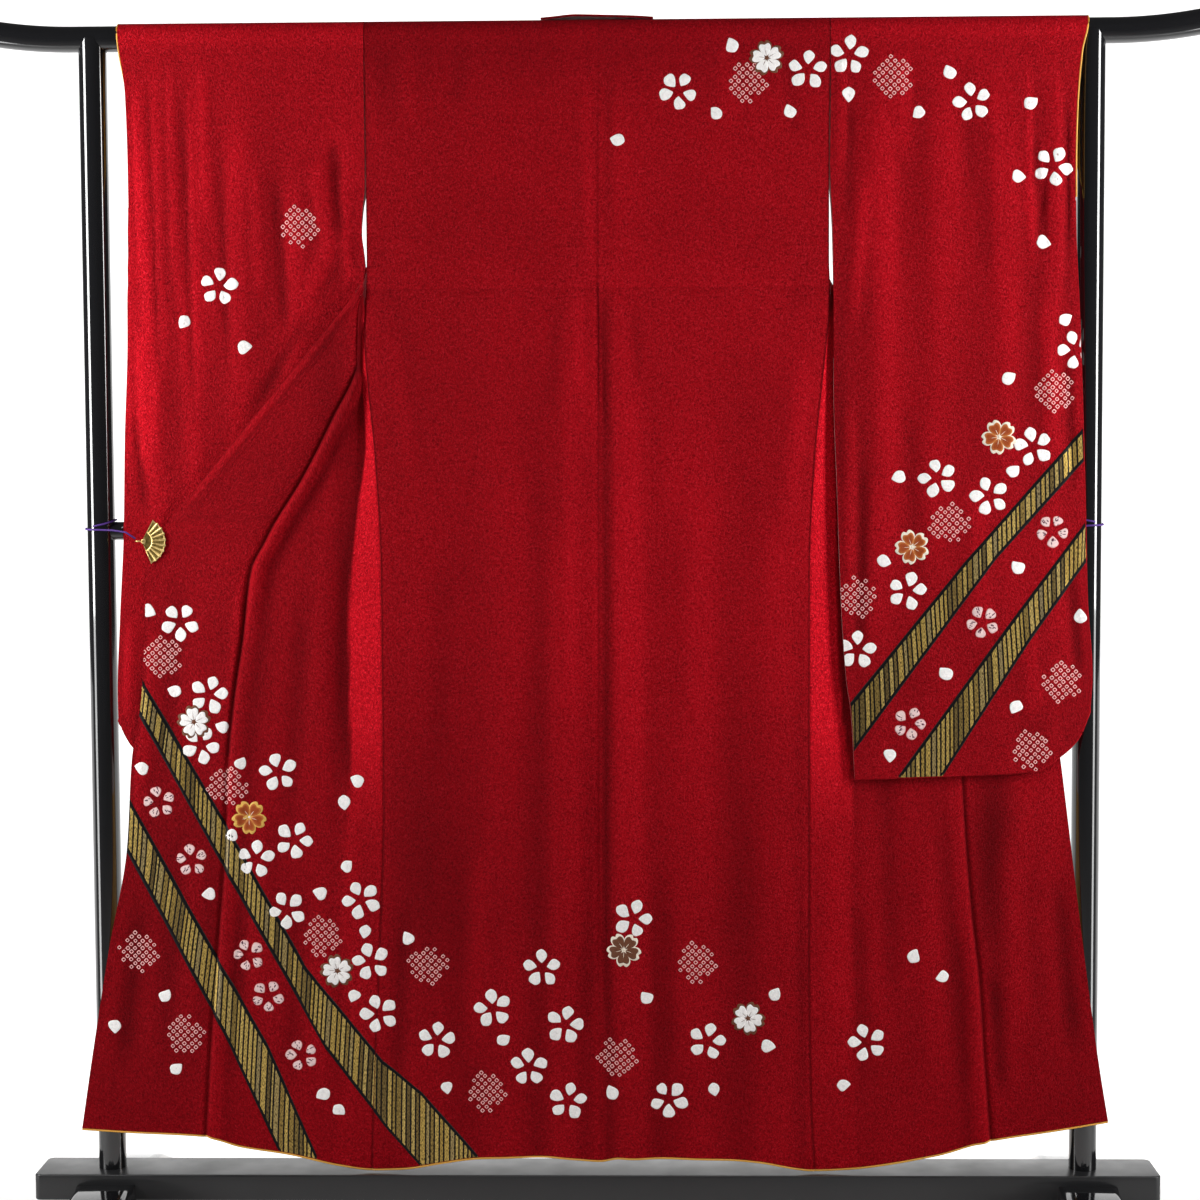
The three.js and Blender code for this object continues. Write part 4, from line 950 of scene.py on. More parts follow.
# Painted shade on the back: darker low down, on its left and in the pleat, with the painted light and shade of its
# patches.
def backShade(x, z, behind):
    low = 0.22 * smooth((880 - z) / 520)
    left = 0.10 * smooth((-20 - x) / 60) * smooth((z - 300) / 300)
    return 0.5 * behind + low + left + pleatShade(z) * bell((x - 20) / 9) + patches(backPatches, x, z)


# Which inner faces are mustard: those low down, or those at a cuff.
def lowZone(x, z):
    return z < cloth["mustardTop"]


def cuffZone(x, z):
    left, right = cloth["cuffLining"]
    return np.abs(x) > (left if x.flat[0] < 0 else right)


# The flat size of each panel's cut, and its area where it isn't a rectangle.
cuts = {
    "back": {"flat": (0.315, 1.56)},
    "sleeve": {"flat": (0.34, 1.04)},
    "front": {"flat": (0.24, 1.56), "area": 0.25},
    "okumi": {"flat": (0.155, 1.18), "area": 0.15},
    "collar": {"flat": (0.06, 0.80), "area": 0.026},
}

# Painted shade in the grooves along the seams: shade, half width, lowest, highest.
sideSeamShade, centreSeamShading = (0.75, 1.5, 0, 1700), (centreSeamShade, 1.5, 0, 1700)
frontSeamShade = (0.75, 1.5, 0, 1330)
okumiSeamShades = {"Left": (0.85, 2.8, 700, 1228), "Right": (0.7, 2.0, 0, 700)}

# Where the panels behind have no lining: lowest, highest, farthest out.
plainSleeve, plainFront = (1240, 1368, 350), (1290, 1400, 900)


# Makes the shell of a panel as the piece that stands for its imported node.
def addPanel(name, cut, panel, flip, front, zone, half=None):
    panels[name], sheets[name] = panel, cuts[cut]
    piece = shellPiece(name, panel, flip, front, zone, half)
    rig.replaces(piece, nodeName(name))
    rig.slot(piece, "crepe")


def addBack(name, first, second, seams):
    def lines(z):
        return first(z), second(z)

    def bottom(u):
        return hemLine(mix(first(130.0), second(130.0), u)) + hemShows

    def depth(x, z, u, low):
        return backDepth(x, z)

    tuckRows = [tuckHeight + step for step in (-2.4, -1.2, 0, 1.2, 2.4)]
    panel = layPanel(lines, bottom, depth, side=-1, rowsAt=tuckRows)
    panel.update(tone=backShade, seams=seams)
    addPanel(name, "back", panel, True, -1, lowZone)


# The left sleeve has painted light along its outer side, and a painted shadow beside the okumi's free edge,
# which lies on it. The right one has painted shade low down.
def leftSleeveShade(x, z, behind):
    freeEdge = columns(leftFrontTable)[4](z)
    outer = -0.42 * smooth((-578 - x) / 26) * smooth((z - 1040) / 120) * smooth((1640 - z) / 170)
    middle = 0.12 * bell((x + 455) / 95) - 0.06
    beside = 0.6 * bell((x - freeEdge + 2.2) / 2.2) * (z < 985)
    return 0.8 * behind + outer + middle + patches(leftSleevePatches, x, z) + beside


def rightSleeveShade(x, z, behind):
    return 0.8 * behind + 0.07 + 0.12 * smooth((1000 - z) / 200) + patches(rightSleevePatches, x, z)


def addSleeve(side, table, bottom, folds, creases, nearTone):
    inner, outer, middle, apartLine = columns(table)

    def lines(z):
        return inner(z), outer(z)

    # The far half is cut back a little beside the left slit.
    def farLines(z):
        cutBack = 1.6 * bell((z - 1408) / 40) if side == "Left" else 0.0
        return inner(z) - cutBack, outer(z)

    def near(x, z, u, low):
        fade = mix(0.3, 1, smooth((z - 1000) / 450)) * smooth((railHeight - z) / 160)
        hold = smooth(u / 0.05) * smooth((1 - u) / 0.04)
        hold = hold * smooth((z - low) / 40) * smooth((railHeight - z) / 30)
        # Where the left front lies over it, the inner edge is pressed back.
        pressed = 4.5 * smooth((x + 352) / 25) * smooth((1290 - z) / 60) * (x < 0)
        folded = middle(z) + pressed - fade * softFolds(folds, x, z)
        return folded - 1.5 * hold * creaseDepth(creases, x, z)

    def far(x, z, u, low):
        sewn = np.maximum(smooth((1 - u) / 0.2), smooth((z - cuffBottom) / 60)) * smooth((z - low) / 60)
        return near(x, z, u, low) + 2.3 + apartLine(z) * sewn

    nearPanel, farPanel = layPanel(lines, bottom, near, side=-1), layPanel(farLines, bottom, far, side=1)
    nearPanel.update(plain=plainSleeve, tone=nearTone)
    farPanel.update(plain=plainSleeve)
    addPanel(f"sleeve{side}Back", "sleeve", nearPanel, side == "Right", -1, cuffZone)
    addPanel(f"sleeve{side}Front", "sleeve", farPanel, side == "Left", 1, cuffZone)


def frontLines(table, backEdge, outward):
    seamX, seamY, okumiX, okumiY, edgeX, edgeY = columns(table)

    def seam(z):
        sewn = smooth((1325 - z) / 38)
        edge = backEdge(z)
        return mix(seamX(z), edge - outward * 0.25, sewn), mix(seamY(z), backDepth(edge, z), sewn)

    def okumi(z):
        return okumiX(z), okumiY(z)

    def edge(z):
        return edgeX(z), edgeY(z)

    def collarSeam(z):
        on = smooth((1336 - z) / 18)
        nearX = edgeX(z) - outward * collarWidth(z)
        return mix(okumiX(z), nearX, on), mix(okumiY(z), edgeY(z) + 0.5, on)

    return seam, okumi, edge, collarSeam


# Beside the side seam a front has a strip of painted light as far as its valley, and painted shade beyond it.
stripLightAndShade = {"Left": {"lit": -0.68, "beyond": 0.12}, "Right": {"lit": -0.9, "beyond": 0.36}}


def frontShade(backEdge, side):
    def tone(x, z, behind):
        at = valleys[side][0](z)
        past = sides[side] * (x - backEdge(z)) - at
        strength = smooth((1330 - z) / 60) * mix(0.10, 1.0, smooth((z - 540) / 260))
        onStrip = strength * (1 - smooth((past + 1.5) / 3.0))
        dark = strength * stripLightAndShade[side]["beyond"] * smooth(past / 2.5) * bell(past / 58)
        # Elsewhere the front gets painted shade from its troughs, an even darkening, and the painted light and shade
        # of its patches.
        plain = 0.6 * behind + dark + 0.21 + patches(frontPatches, x, z)
        return mix(plain, stripLightAndShade[side]["lit"], onStrip)

    return tone


# Painted shade on the okumi, more of it low down, and on the collar, with the painted light and shade of the patches.
def okumiShade(x, z, behind):
    return behind + 0.19 + 0.19 * smooth((820 - z) / 260) + patches(frontPatches, x, z)


def collarShade(x, z, behind):
    return behind + 0.12 + patches(frontPatches, x, z)


def addFront(side, table, backEdge, rollLine, creases):
    outward = sides[side]
    seam, okumi, edge, collarSeam = frontLines(table, backEdge, outward)
    reach, floor = valleys[side]

    def lines(z):
        return seam(z)[0], okumi(z)[0] + outward * pastSeam

    def bottom(u):
        return hemLine(mix(seam(130.0)[0], okumi(130.0)[0], u)) + hemShows

    # Straight behind the rail. Below the slit the cloth falls back from the side
    # seam in an even slope, turns in a valley, and comes forward again to a roll
    # beside the okumi seam.
    def frontDepth(x, z, u, low):
        (sx, sy), (ox, oy) = seam(z), okumi(z)
        width = np.abs(ox - sx) + 1e-6
        below = smooth((1345 - z) / 60)
        fromSeam, fromOkumi = u * width, (1 - u) * width
        at = np.minimum(reach(z), 0.45 * width)
        lowest = mix(oy, floor(z), smooth((1325 - z) / 60))
        slope = mix(sy, lowest, np.clip(fromSeam / at, 0, 1))
        rise = mix(lowest, oy, smooth((fromSeam - at) / np.minimum(45, 0.5 * width)))
        base = mix(mix(sy, oy, u), np.where(fromSeam < at, slope, rise), below)
        inside = smooth(fromOkumi / 8) * smooth(fromSeam / 14)
        roll = rollLine(z) * below * inside * bell((fromOkumi - 10) / 11)
        hold = below * smooth(fromSeam / 10) * smooth(fromOkumi / 10)
        atSeam = bell(fromSeam / 1.9) * (1 - bell(fromSeam / 0.8))
        deep = 2.0 * (smooth((1262 - z) / 40) if side == "Left" else 1)
        groove = below * (atSeam + deep * bell(fromOkumi / 2.6))
        return base + groove - roll - hold * creaseDepth(creases, x, z)

    # The okumi ends at the collar, and below the collar at its own free edge.
    def toFree(z):
        return smooth((okumiShoulder - z) / 12)

    def okumiPlaces(z):
        last = mix(collarSeam(z)[0] - outward * pastSeam, edge(z)[0], toFree(z))
        return okumi(z)[0] - outward * pastSeam, last

    def okumiBottom(u):
        return hemLine(mix(okumi(150.0)[0], edge(150.0)[0], u)) + hemShows

    def okumiDepth(x, z, u, low):
        width = np.abs(edge(z)[0] - okumi(z)[0])
        hold = smooth(u * width / 10) * smooth((1 - u) * width / 12)
        flat = mix(okumi(z)[1], mix(collarSeam(z)[1], edge(z)[1], toFree(z)), u)
        return flat + 2.0 * bell(u * width / 4.5) - hold * creaseDepth(okumiCreases, x, z)

    def collarPlaces(z):
        return collarSeam(z)[0], edge(z)[0]

    def collarBottom(u):
        return collarEnd + 0 * u

    # The collar is a folded band: it swells and its free edge curls back.
    def collarDepth(x, z, u, low):
        swell = 1.8 * bell((u - 0.62) / 0.26) - 1.2 * smooth((u - 0.8) / 0.2)
        swell = smooth((1350 - z) / 60) * swell
        swell = swell * smooth((z - collarEnd + 10) / 90)
        return mix(collarSeam(z)[1], edge(z)[1], u) - swell

    shade, wide, lowest, highest = okumiSeamShades[side]
    front = layPanel(lines, bottom, frontDepth, side=1)
    front.update(tone=frontShade(backEdge, side), seams={0: frontSeamShade, -1: okumiSeamShades[side]})
    overlap = layPanel(okumiPlaces, okumiBottom, okumiDepth, top=okumiTop)
    overlap.update(tone=okumiShade, seams={0: (shade, wide * 1.3, lowest, highest)})
    collar = layPanel(collarPlaces, collarBottom, collarDepth, side=1)
    collar.update(tone=collarShade)
    for part, panel in (("front", front), ("okumi", overlap), ("collar", collar)):
        panel["plain"] = plainFront
        half = cloth["collarHalf"] if part == "collar" else None
        addPanel(part + side, part, panel, side == "Right", -1, lowZone, half)


addBack("backLeft", backLeftLine, lambda z: backCentreLine(z) + pastSeam,
        {0: sideSeamShade, -1: centreSeamShading})
addBack("backRight", lambda z: backCentreLine(z) - pastSeam, backRightLine,
        {0: centreSeamShading, -1: sideSeamShade})
addSleeve("Left", leftSleeveTable, leftSleeveBottom, leftSleeveFolds, leftSleeveCreases,
          leftSleeveShade)
addSleeve("Right", rightSleeveTable, rightSleeveBottom, rightSleeveFolds, rightSleeveCreases,
          rightSleeveShade)
addFront("Left", leftFrontTable, backLeftLine, leftRoll, leftFrontCreases)
addFront("Right", rightFrontTable, backRightLine, rightRoll, rightFrontCreases)
print("stage: cloth panels")

# ---- edges, seams and linings ----

trim = {
    "cuffRadius": 1.15,      # rolled lining round each cuff
    "cuffOffset": 1.0,
    "cuffHidden": {"Left": 2.4, "Right": 0.0},      # how far it slips in below the ridge
    "seamRadius": 2.0,       # closed edge of a sleeve
    "hemHeight": 27.0,       # lining inside the hem
    "hemRoll": 2.9,          # how far its roll stands below the crepe
}


def addSleeveEdges():
    for side, outward in sides.items():
        near, far = panels[f"sleeve{side}Back"]["points"], panels[f"sleeve{side}Front"]["points"]
        edgeNear, edgeFar = near[:, -1], far[:, -1]
        # The cuff: up the near edge, over the ridge and down the far edge.
        above = edgeNear[:, 2] > cuffBottom
        cuff = np.concatenate([edgeNear[above][::-1], edgeFar[edgeFar[:, 2] > cuffBottom][1:]])
        hidden = trim["cuffHidden"][side] * smooth((1650 - cuff[:, 2:]) / 60) * (cuff[:, 1:2] < 0)
        cuff = cuff + [outward, 0, 0] * (trim["cuffOffset"] - hidden) + [0, 0.6, 0] * hidden
        points, faces, uv = tube(cuff[::2], trim["cuffRadius"], 8)
        roll = meshPiece(f"cuffLining{side}", points, faces, [hakkake], uv=uv)
        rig.replaces(roll, f"cuff_lining_{side.lower()}_back", f"cuff_lining_{side.lower()}_front")
        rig.slot(roll, "hem_lining")
        # The sewn edge: down from the cuff, round the corner and along the bottom.
        down = edgeNear[~above] * [1, 0.5, 1] + edgeFar[~above] * [0, 0.5, 0]
        along = near[-1, ::-1] * [1, 0.5, 1] + far[-1, ::-1] * [0, 0.5, 0]
        path = np.concatenate([down[:-1] - [outward, 0, 0], along + [0, 0, 0.6]])
        points, faces, uv = tube(path, trim["seamRadius"], 10)
        seam = meshPiece(f"sleeveEdge{side}", points, faces, [crepe], uv=uv, shade=np.zeros(len(points)))
        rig.slot(seam, "crepe")
        extras[f"sleeve{side}Back"] = [roll, seam]


# The hem lining of a panel: a strip inside it whose lower edge is rolled out under the
# crepe. Its section is a ring of (depth behind the crepe's middle, height over its edge)
# places, carried along the hem.
hemSection = [
    (1.2, 1.0), (1.2, 0.97), (1.2, 0.5), (1.2, 0.12), (0.9, 0.0), (-0.5, -0.15), (-1.0, -0.5), (-0.9, -0.85),
    (0.0, -1.05), (1.1, -0.95), (2.0, -0.55), (2.3, 0.0), (2.1, 0.12), (2.0, 0.5), (2.0, 0.97), (2.0, 1.0),
]


def addHemLinings():
    for name in ("backLeft", "backRight", "frontLeft", "frontRight", "okumiLeft", "okumiRight"):
        grid, over = panels[name]["points"], panels[name]["over"]
        rows, wide = grid.shape[:2]
        cell = grid[-2, :, 2] - grid[-1, :, 2]
        rings = []
        for depth, height in hemSection:
            up = np.maximum(height, 0) * trim["hemHeight"]
            row = np.maximum(rows - 1 - up / cell, over)
            j = np.minimum(row.astype(int), rows - 2)
            part = (row - j)[:, None]
            point = grid[j, np.arange(wide)] * (1 - part) + grid[j + 1, np.arange(wide)] * part
            rings.append(point + [0, depth, min(height, 0) * trim["hemRoll"]])
        count = len(hemSection)
        leftward = grid[-1, -1, 0] < grid[-1, 0, 0]
        faces = ringFaces(wide, count, flip=not leftward)
        uv = gridUv(distances(grid[-1])[:, None], np.linspace(0, 60, count)[None, :])
        points = np.stack(rings, 1).reshape(-1, 3)
        strip = meshPiece(titled("hemLining", name), points, faces, [hakkake], uv=uv)
        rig.replaces(strip, "hem_" + nodeName(name))
        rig.slot(strip, "hem_lining")
        extras[name] = [strip]


# The collar at the back of the neck: an arc over the ridge whose top is lifted, and
# then straight down behind.
neck = {
    "reach": (-65.7, 85.7),
    "radius": 22.1,
    "drop": 42,              # of its straight part
    "arcShare": 0.6,         # of its rows
    "arcFrom": -0.3,         # radians from the top, towards the front
    "halfThickness": 1.4,
}
neckLift = curve([(-66, 0), (-48, 1.6), (-20, 4.2), (12, 3.4), (60, 1.8), (86, 0)])


def addNeckCollar():
    u, v = np.linspace(0, 1, 40)[None, :], np.linspace(0, 1, 36)[:, None]
    x = mix(*neck["reach"], u) + 0 * v
    turn = mix(neck["arcFrom"], math.pi / 2, np.minimum(v / neck["arcShare"], 1))
    drop = np.maximum(v - neck["arcShare"], 0) / (1 - neck["arcShare"])
    z = railHeight + (neck["radius"] + neckLift(x)) * np.cos(turn) - neck["drop"] * drop
    panel = {"points": np.stack([x, neck["radius"] * np.sin(turn) + 0 * x, z], -1), "over": 0}
    piece = shellPiece("collarNeck", panel, False, 1, None, neck["halfThickness"])
    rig.replaces(piece, "collar_back")
    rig.slot(piece, "crepe")
    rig.sheet(piece, flat=(0.155, 0.10), held="folded", rests_on=["topRail"])


addSleeveEdges()
addHemLinings()
addNeckCollar()
print("stage: edges and linings")

# ---- the stand ----

stand = {
    "railRadius": 17.5, "railStraight": 700.0, "railBend": 690.0, "railBendAngle": 0.3, "tip": 4.0,
    "uprightX": 674.0, "uprightRadius": 19.0,
    "midRail": 1007.0, "midRadius": 11.0, "socketLong": 18.5, "socketThick": 1.6,
    "board": (1549.0, 79.0, 36.0), "boardTop": 120.0, "boardCorner": 9.0, "boardEdge": 2.2,
    "foot": (80.0, 560.0, 107.0, 34.0), "footEdge": 9.0,
    "gap": 0.3,
}


def standPiece(name, standsFor, points, faces, material, slot, uv=None, sharp=40):
    piece = meshPiece(name, points, faces, [material], uv=uv)
    sharpEdges(piece, sharp)
    if standsFor:
        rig.replaces(piece, standsFor)
    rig.slot(piece, slot)
    return piece


# The top rail: straight, then an arc upwards at both ends, with rounded tips.
def addTopRail():
    turn = np.linspace(0, stand["railBendAngle"], 24)
    bend = np.stack([stand["railStraight"] + stand["railBend"] * np.sin(turn), 0 * turn,
                     railHeight + stand["railBend"] * (1 - np.cos(turn))], -1)
    right = np.concatenate([[[0, 0, railHeight], [stand["railStraight"] / 2, 0, railHeight]], bend])
    ahead = (bend[-1] - bend[-2]) / np.linalg.norm(bend[-1] - bend[-2])
    # How far each ring of the tip lies back from its end, and how much smaller it is.
    tip = stand["tip"]
    back = np.array([4, 2.4, 1.2, 0.4, 0])
    smaller = (1 - np.sqrt(np.maximum(0.0, 1 - ((tip - back) / tip) ** 2))) * tip
    right = np.concatenate([right[:-1], bend[-1] - back[:, None] * ahead])
    shrink = np.concatenate([np.zeros(len(right) - len(back)), smaller])
    path = np.concatenate([(right * [-1, 1, 1])[:0:-1], right])
    radii = stand["railRadius"] - np.concatenate([shrink[:0:-1], shrink])
    points, faces, uv = tube(path, radii, 72)
    standPiece("topRail", "top_rail", points, faces, lacquer, "lacquer", uv)


# An upright: rings whose heights run from the board up to the saddle under the rail,
# where z is the rail's middle less the root of its radius squared less y squared. The
# last rings close the saddle towards its middle. Each ring is (share of the radius,
# share of the height).
uprightRings = [
    (0.55, 0), (0.85, 0), (1, 0), (1, 0.002), (1, 0.5), (1, 0.98), (1, 1), (0.8, 1), (0.5, 1), (0.15, 1),
]


def addUprights():
    radius, seat = stand["uprightRadius"], stand["railRadius"] + stand["gap"]
    turn = turns(96)
    foot = stand["boardTop"] + stand["gap"]
    rings = []
    for share, height in uprightRings:
        x, y = radius * share * np.cos(turn), radius * share * np.sin(turn)
        saddle = railHeight - np.sqrt(np.maximum(seat ** 2 - y ** 2, 0))
        rings.append(np.stack([x, y, mix(foot, saddle, height)], -1))
    faces = ringFaces(len(rings), len(turn))
    for side, outward in sides.items():
        name = f"upright{side}"
        points = np.concatenate(rings) + [outward * stand["uprightX"], 0, 0]
        standPiece(name, nodeName(name), points, faces, lacquer, "lacquer", sharp=50)


# The middle rail, its ends hollowed to the uprights, and a short socket at each end.
def addMidRail():
    radius = stand["midRadius"]
    seat = stand["uprightRadius"] + stand["gap"]
    turn = turns(48)
    count = len(turn)
    y, z = np.cos(turn), np.sin(turn)

    def ring(x, size):
        return np.stack([x + 0 * turn, size * y, stand["midRail"] + size * z], -1)

    def coped(size):
        return stand["uprightX"] - np.sqrt(seat ** 2 - (size * y) ** 2)

    ends = [radius * share for share in (0.2, 0.7, 1)]
    rings = [ring(-coped(size), size) for size in ends] + [ring(x, radius) for x in (-600, -200, 200, 600)]
    rings += [ring(coped(size), size) for size in ends[::-1]]
    faces = ringFaces(len(rings), count)
    standPiece("midRail", "mid_rail", np.concatenate(rings), faces, lacquer, "lacquer")
    inside, socket, long = radius + 0.15, radius + stand["socketThick"], stand["socketLong"]
    reach = [(0, inside), (0, socket), (long - 3.5, socket), (long - 1.0, socket - 0.5), (long, inside)]
    for side, outward in sides.items():
        points = np.concatenate([ring(outward * (coped(size) - back), size) for back, size in reach])
        faces = gridFaces(len(reach), count, closed=True, flip=outward > 0)
        bore = gridFaces(2, count, closed=True, flip=outward < 0)
        bore = np.where(bore >= count, bore + (len(reach) - 2) * count, bore)
        standPiece(f"railSocket{side}", None, points, np.concatenate([faces, bore]), lacquer, "lacquer")


# A slab with rounded edges: its outline drawn at several heights, set in near the top
# and bottom by a quarter circle.
def slab(outline, low, high, edge, steps=5):
    turn = np.linspace(0, math.pi / 2, steps)
    inset = edge * (1 - np.sin(turn))
    rise = edge * (1 - np.cos(turn))
    heights = np.concatenate([low + rise, high - rise[::-1]])
    insets = np.concatenate([inset, inset[::-1]])
    rings = [np.insert(outline(inset), 2, height, axis=1) for inset, height in zip(insets, heights)]
    return np.concatenate(rings), ringFaces(len(rings), len(rings[0]))


def addBoard():
    long, deep, thick = stand["board"]
    corner = stand["boardCorner"]

    def outline(inset):
        parts = []
        for k, (sx, sy) in enumerate([(1, 1), (-1, 1), (-1, -1), (1, -1)]):
            angle = np.linspace(0, math.pi / 2, 9) + k * math.pi / 2
            parts.append(np.stack([sx * (long / 2 - corner) + (corner - inset) * np.cos(angle),
                                   sy * (deep / 2 - corner) + (corner - inset) * np.sin(angle)], -1))
        return np.concatenate(parts)

    points, faces = slab(outline, stand["boardTop"] - thick, stand["boardTop"], stand["boardEdge"])
    standPiece("baseBoard", "base_board", points, faces, boardLacquer, "board_lacquer", sharp=60)


# A foot: its side profile, with the notch for the board, carried across its width, and
# the long edges rounded.
def addFeet():
    width, long, top, tip = stand["foot"]
    end, notch = long / 2, stand["board"][1] / 2 + stand["gap"]
    floorOfNotch = stand["boardTop"] - stand["board"][2] - stand["gap"]
    t = np.linspace(0, 1, 16)[:, None]
    slope = (1 - t) ** 2 * [end, tip] + 2 * t * (1 - t) * [end * 0.55, top] + t ** 2 * [notch + 20, top]
    base = np.stack([np.linspace(-end, end, 24), np.zeros(24)], -1)
    half = np.concatenate([slope, [[notch + 3, top], [notch, top - 1], [notch, floorOfNotch]]])
    profile = np.concatenate([base[:-1], half, (half * [-1, 1])[::-1]])
    before, after = np.roll(profile, 1, axis=0), np.roll(profile, -1, axis=0)
    tangent = after - before
    inward = np.stack([-tangent[:, 1], tangent[:, 0]], -1)
    inward /= np.maximum(np.linalg.norm(inward, axis=1, keepdims=True), 1e-9)
    inward[(profile[:, 1] < 1) | (np.abs(profile[:, 0]) < notch + 4)] *= [[0.12, 0.12]]

    def outline(inset):
        return profile + inward * inset

    points, faces = slab(outline, -width / 2, width / 2, stand["footEdge"], 7)
    points = points[:, [2, 0, 1]]
    for side, outward in sides.items():
        name = f"foot{side}"
        placed = points + [outward * stand["uprightX"], 0, 0]
        standPiece(name, nodeName(name), placed, faces, lacquer, "lacquer", sharp=50)


addTopRail()
addUprights()
addMidRail()
addBoard()
addFeet()
print("stage: the stand")

# ---- fan clips, rings and cords ----

clips = {
    "pivotLeft": (-611.5, -29.3, 993.5),
    "pivotRight": (622.0, -13.2, 958.0),
    "radius": 33.0,
    "ribs": 9,
    "open": (-68.0, 62.0),   # degrees
    "jawDepth": 4.6,
    "ringRadius": 4.4,
    "ringWire": 1.1,
    "cordDiameter": 2.5,
}


# An open fan about its pivot. Its front stands out by a bell-shaped ridge along each rib,
# by a raised rim, and by a raised arc round the small leaf at the pivot.
def fanLeaf():
    ribs = clips["ribs"]
    u, v = np.linspace(0, 1, ribs * 16 + 1)[None, :], np.linspace(0, 1, 41)[:, None]
    phase = u * ribs
    onRib = bell((phase - np.round(phase)) / 0.17)
    radius = mix(3.6, clips["radius"] - 1.1 * (1 - onRib), v)
    angle = np.radians(mix(*clips["open"], u))
    leafEdge = bell((radius - 14.5) / 0.9)
    rim = bell((radius - clips["radius"] + 1.6) / 0.9)
    guard = np.maximum(bell(u / 0.014), bell((1 - u) / 0.014))
    beyond = smooth((radius - 13.5) / 2)
    guards = 1.15 * guard * np.ones_like(radius)
    relief = np.maximum.reduce([onRib * beyond, 0.9 * leafEdge, 0.55 * rim, guards])
    x, z = radius * np.cos(angle), radius * np.sin(angle)
    front = np.stack([x, -0.65 - relief, z], -1)[::-1]
    back = np.stack([x, 0.0 * relief, z], -1)[::-1]
    faces = shellFaces(*relief.shape)
    low = (relief < 0.34)[::-1]
    kinds = np.zeros(len(faces), int)
    recess = (low[:-1, :-1] & low[1:, 1:]).ravel()
    kinds[:len(recess)] = recess
    return np.concatenate([front.reshape(-1, 3), back.reshape(-1, 3)]), faces, kinds


# A rounded plate from four sides: x, z on a superellipse, its thickness along y.
def plate(centre, size, power=5, count=40):
    turn = turns(count)
    x, z = (np.sign(part) * np.abs(part) ** (2 / power) for part in (np.cos(turn), np.sin(turn)))
    rings = []
    for share, depth in ((0.9, -0.5), (1, -0.3), (1, 0.3), (0.9, 0.5)):
        rings.append(np.stack([centre[0] + size[0] / 2 * share * x, centre[1] + size[1] * depth + 0 * x,
                               centre[2] + size[2] / 2 * share * z], -1))
    return np.concatenate(rings), ringFaces(len(rings), count, flip=True)


# Parts (points, faces, and perhaps each face's material) as one.
def joined(parts):
    points, faces, kinds, first = [], [], [], 0
    for part in parts:
        points.append(part[0])
        faces += [[first + k for k in face] for face in part[1]]
        kinds += list(part[2]) if len(part) > 2 else [0] * len(part[1])
        first += len(part[0])
    return np.concatenate(points), faces, kinds


# A ring of wire: circles round a circle in the plane of x and y.
def wireRing(radius, wire, around=40, across=14):
    big, small = turns(around)[:, None], turns(across)[None, :]
    reach = radius + wire * np.cos(small)
    points = np.stack([reach * np.cos(big), reach * np.sin(big), wire * np.sin(small) + 0 * big], -1)
    return points.reshape(-1, 3), gridFaces(around + 1, across, closed=True) % (around * across)


def addClips():
    depth = clips["jawDepth"]
    pieces = [fanLeaf(), plate((3.6, depth / 2 - 0.2, 0), (3, depth + 1.0, 12)),
              plate((12.0, depth - 0.2, 0), (20, 1.2, 13)), plate((2.2, -1.2, 0), (6.5, 1.6, 6.5), 2)]
    points, faces, kinds = joined(pieces)
    ringPoints, ringQuads = wireRing(clips["ringRadius"], clips["ringWire"])
    for side, outward in sides.items():
        way = -outward
        pivot = np.array(clips["pivot" + side])
        placed = points * [way, way, 1] + pivot
        piece = meshPiece(f"fanClip{side}", placed, faces, [brightGold, oldGold], kinds)
        sharpEdges(piece, 45)
        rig.replaces(piece, f"fan_clip_{side.lower()}")
        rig.slot(piece, "gold")
        placed = ringPoints + pivot + [-3.75 * way, -0.4 * way, 0.3]
        ring = meshPiece(f"clipRing{side}", placed, ringQuads, [brightGold])
        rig.replaces(ring, f"clip_ring_{side.lower()}")
        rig.slot(ring, "gold")


# The cord from a ring to its upright and once round it, climbing over the middle rail.
cordClimb = curve([(0, 1009), (0.25, 1010), (0.5, 1016), (0.75, 1022.5), (1, 1016), (1.08, 1014)])


def cordPath(start, between, side):
    reach = stand["uprightRadius"] + stand["gap"] + clips["cordDiameter"] / 2 + 0.15
    turn = np.linspace(0, 1.08, 45)
    angle = -math.pi / 2 + side * (turn - 0.03) * 2 * math.pi
    x, y = side * stand["uprightX"] + reach * np.cos(angle), reach * np.sin(angle)
    return np.concatenate([[start], between, np.stack([x, y, cordClimb(turn)], -1)])


def addCords():
    starts = {
        "Left": ((-620.4, -29.7, 997.1), [(-634, -28.5, 1006), (-652, -25.6, 1008.6)]),
        "Right": ((628.7, -12.9, 963.6), [(641, -14.8, 985), (652, -18.8, 1004)]),
    }
    diameter = clips["cordDiameter"]
    for side, (start, between) in starts.items():
        path = cordPath(start, between, sides[side])
        points, faces, uv = tube(path, diameter / 2, 12)
        piece = meshPiece(f"cord{side}", points, faces, [cordSilk], uv=uv)
        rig.replaces(piece, f"cord_{side.lower()}")
        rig.slot(piece, "cord")
        long = float(distances(path)[-1]) * millimetre
        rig.cord(piece, exit=tuple(path[0] * millimetre), length=round(long, 3),
                diameter=diameter * millimetre, far_end="object", stiffness="limp", lay="taut",
                path=(path * millimetre).tolist())


addClips()
addCords()
print("stage: clips and cords")

# ---- the dyed and embroidered pattern ----

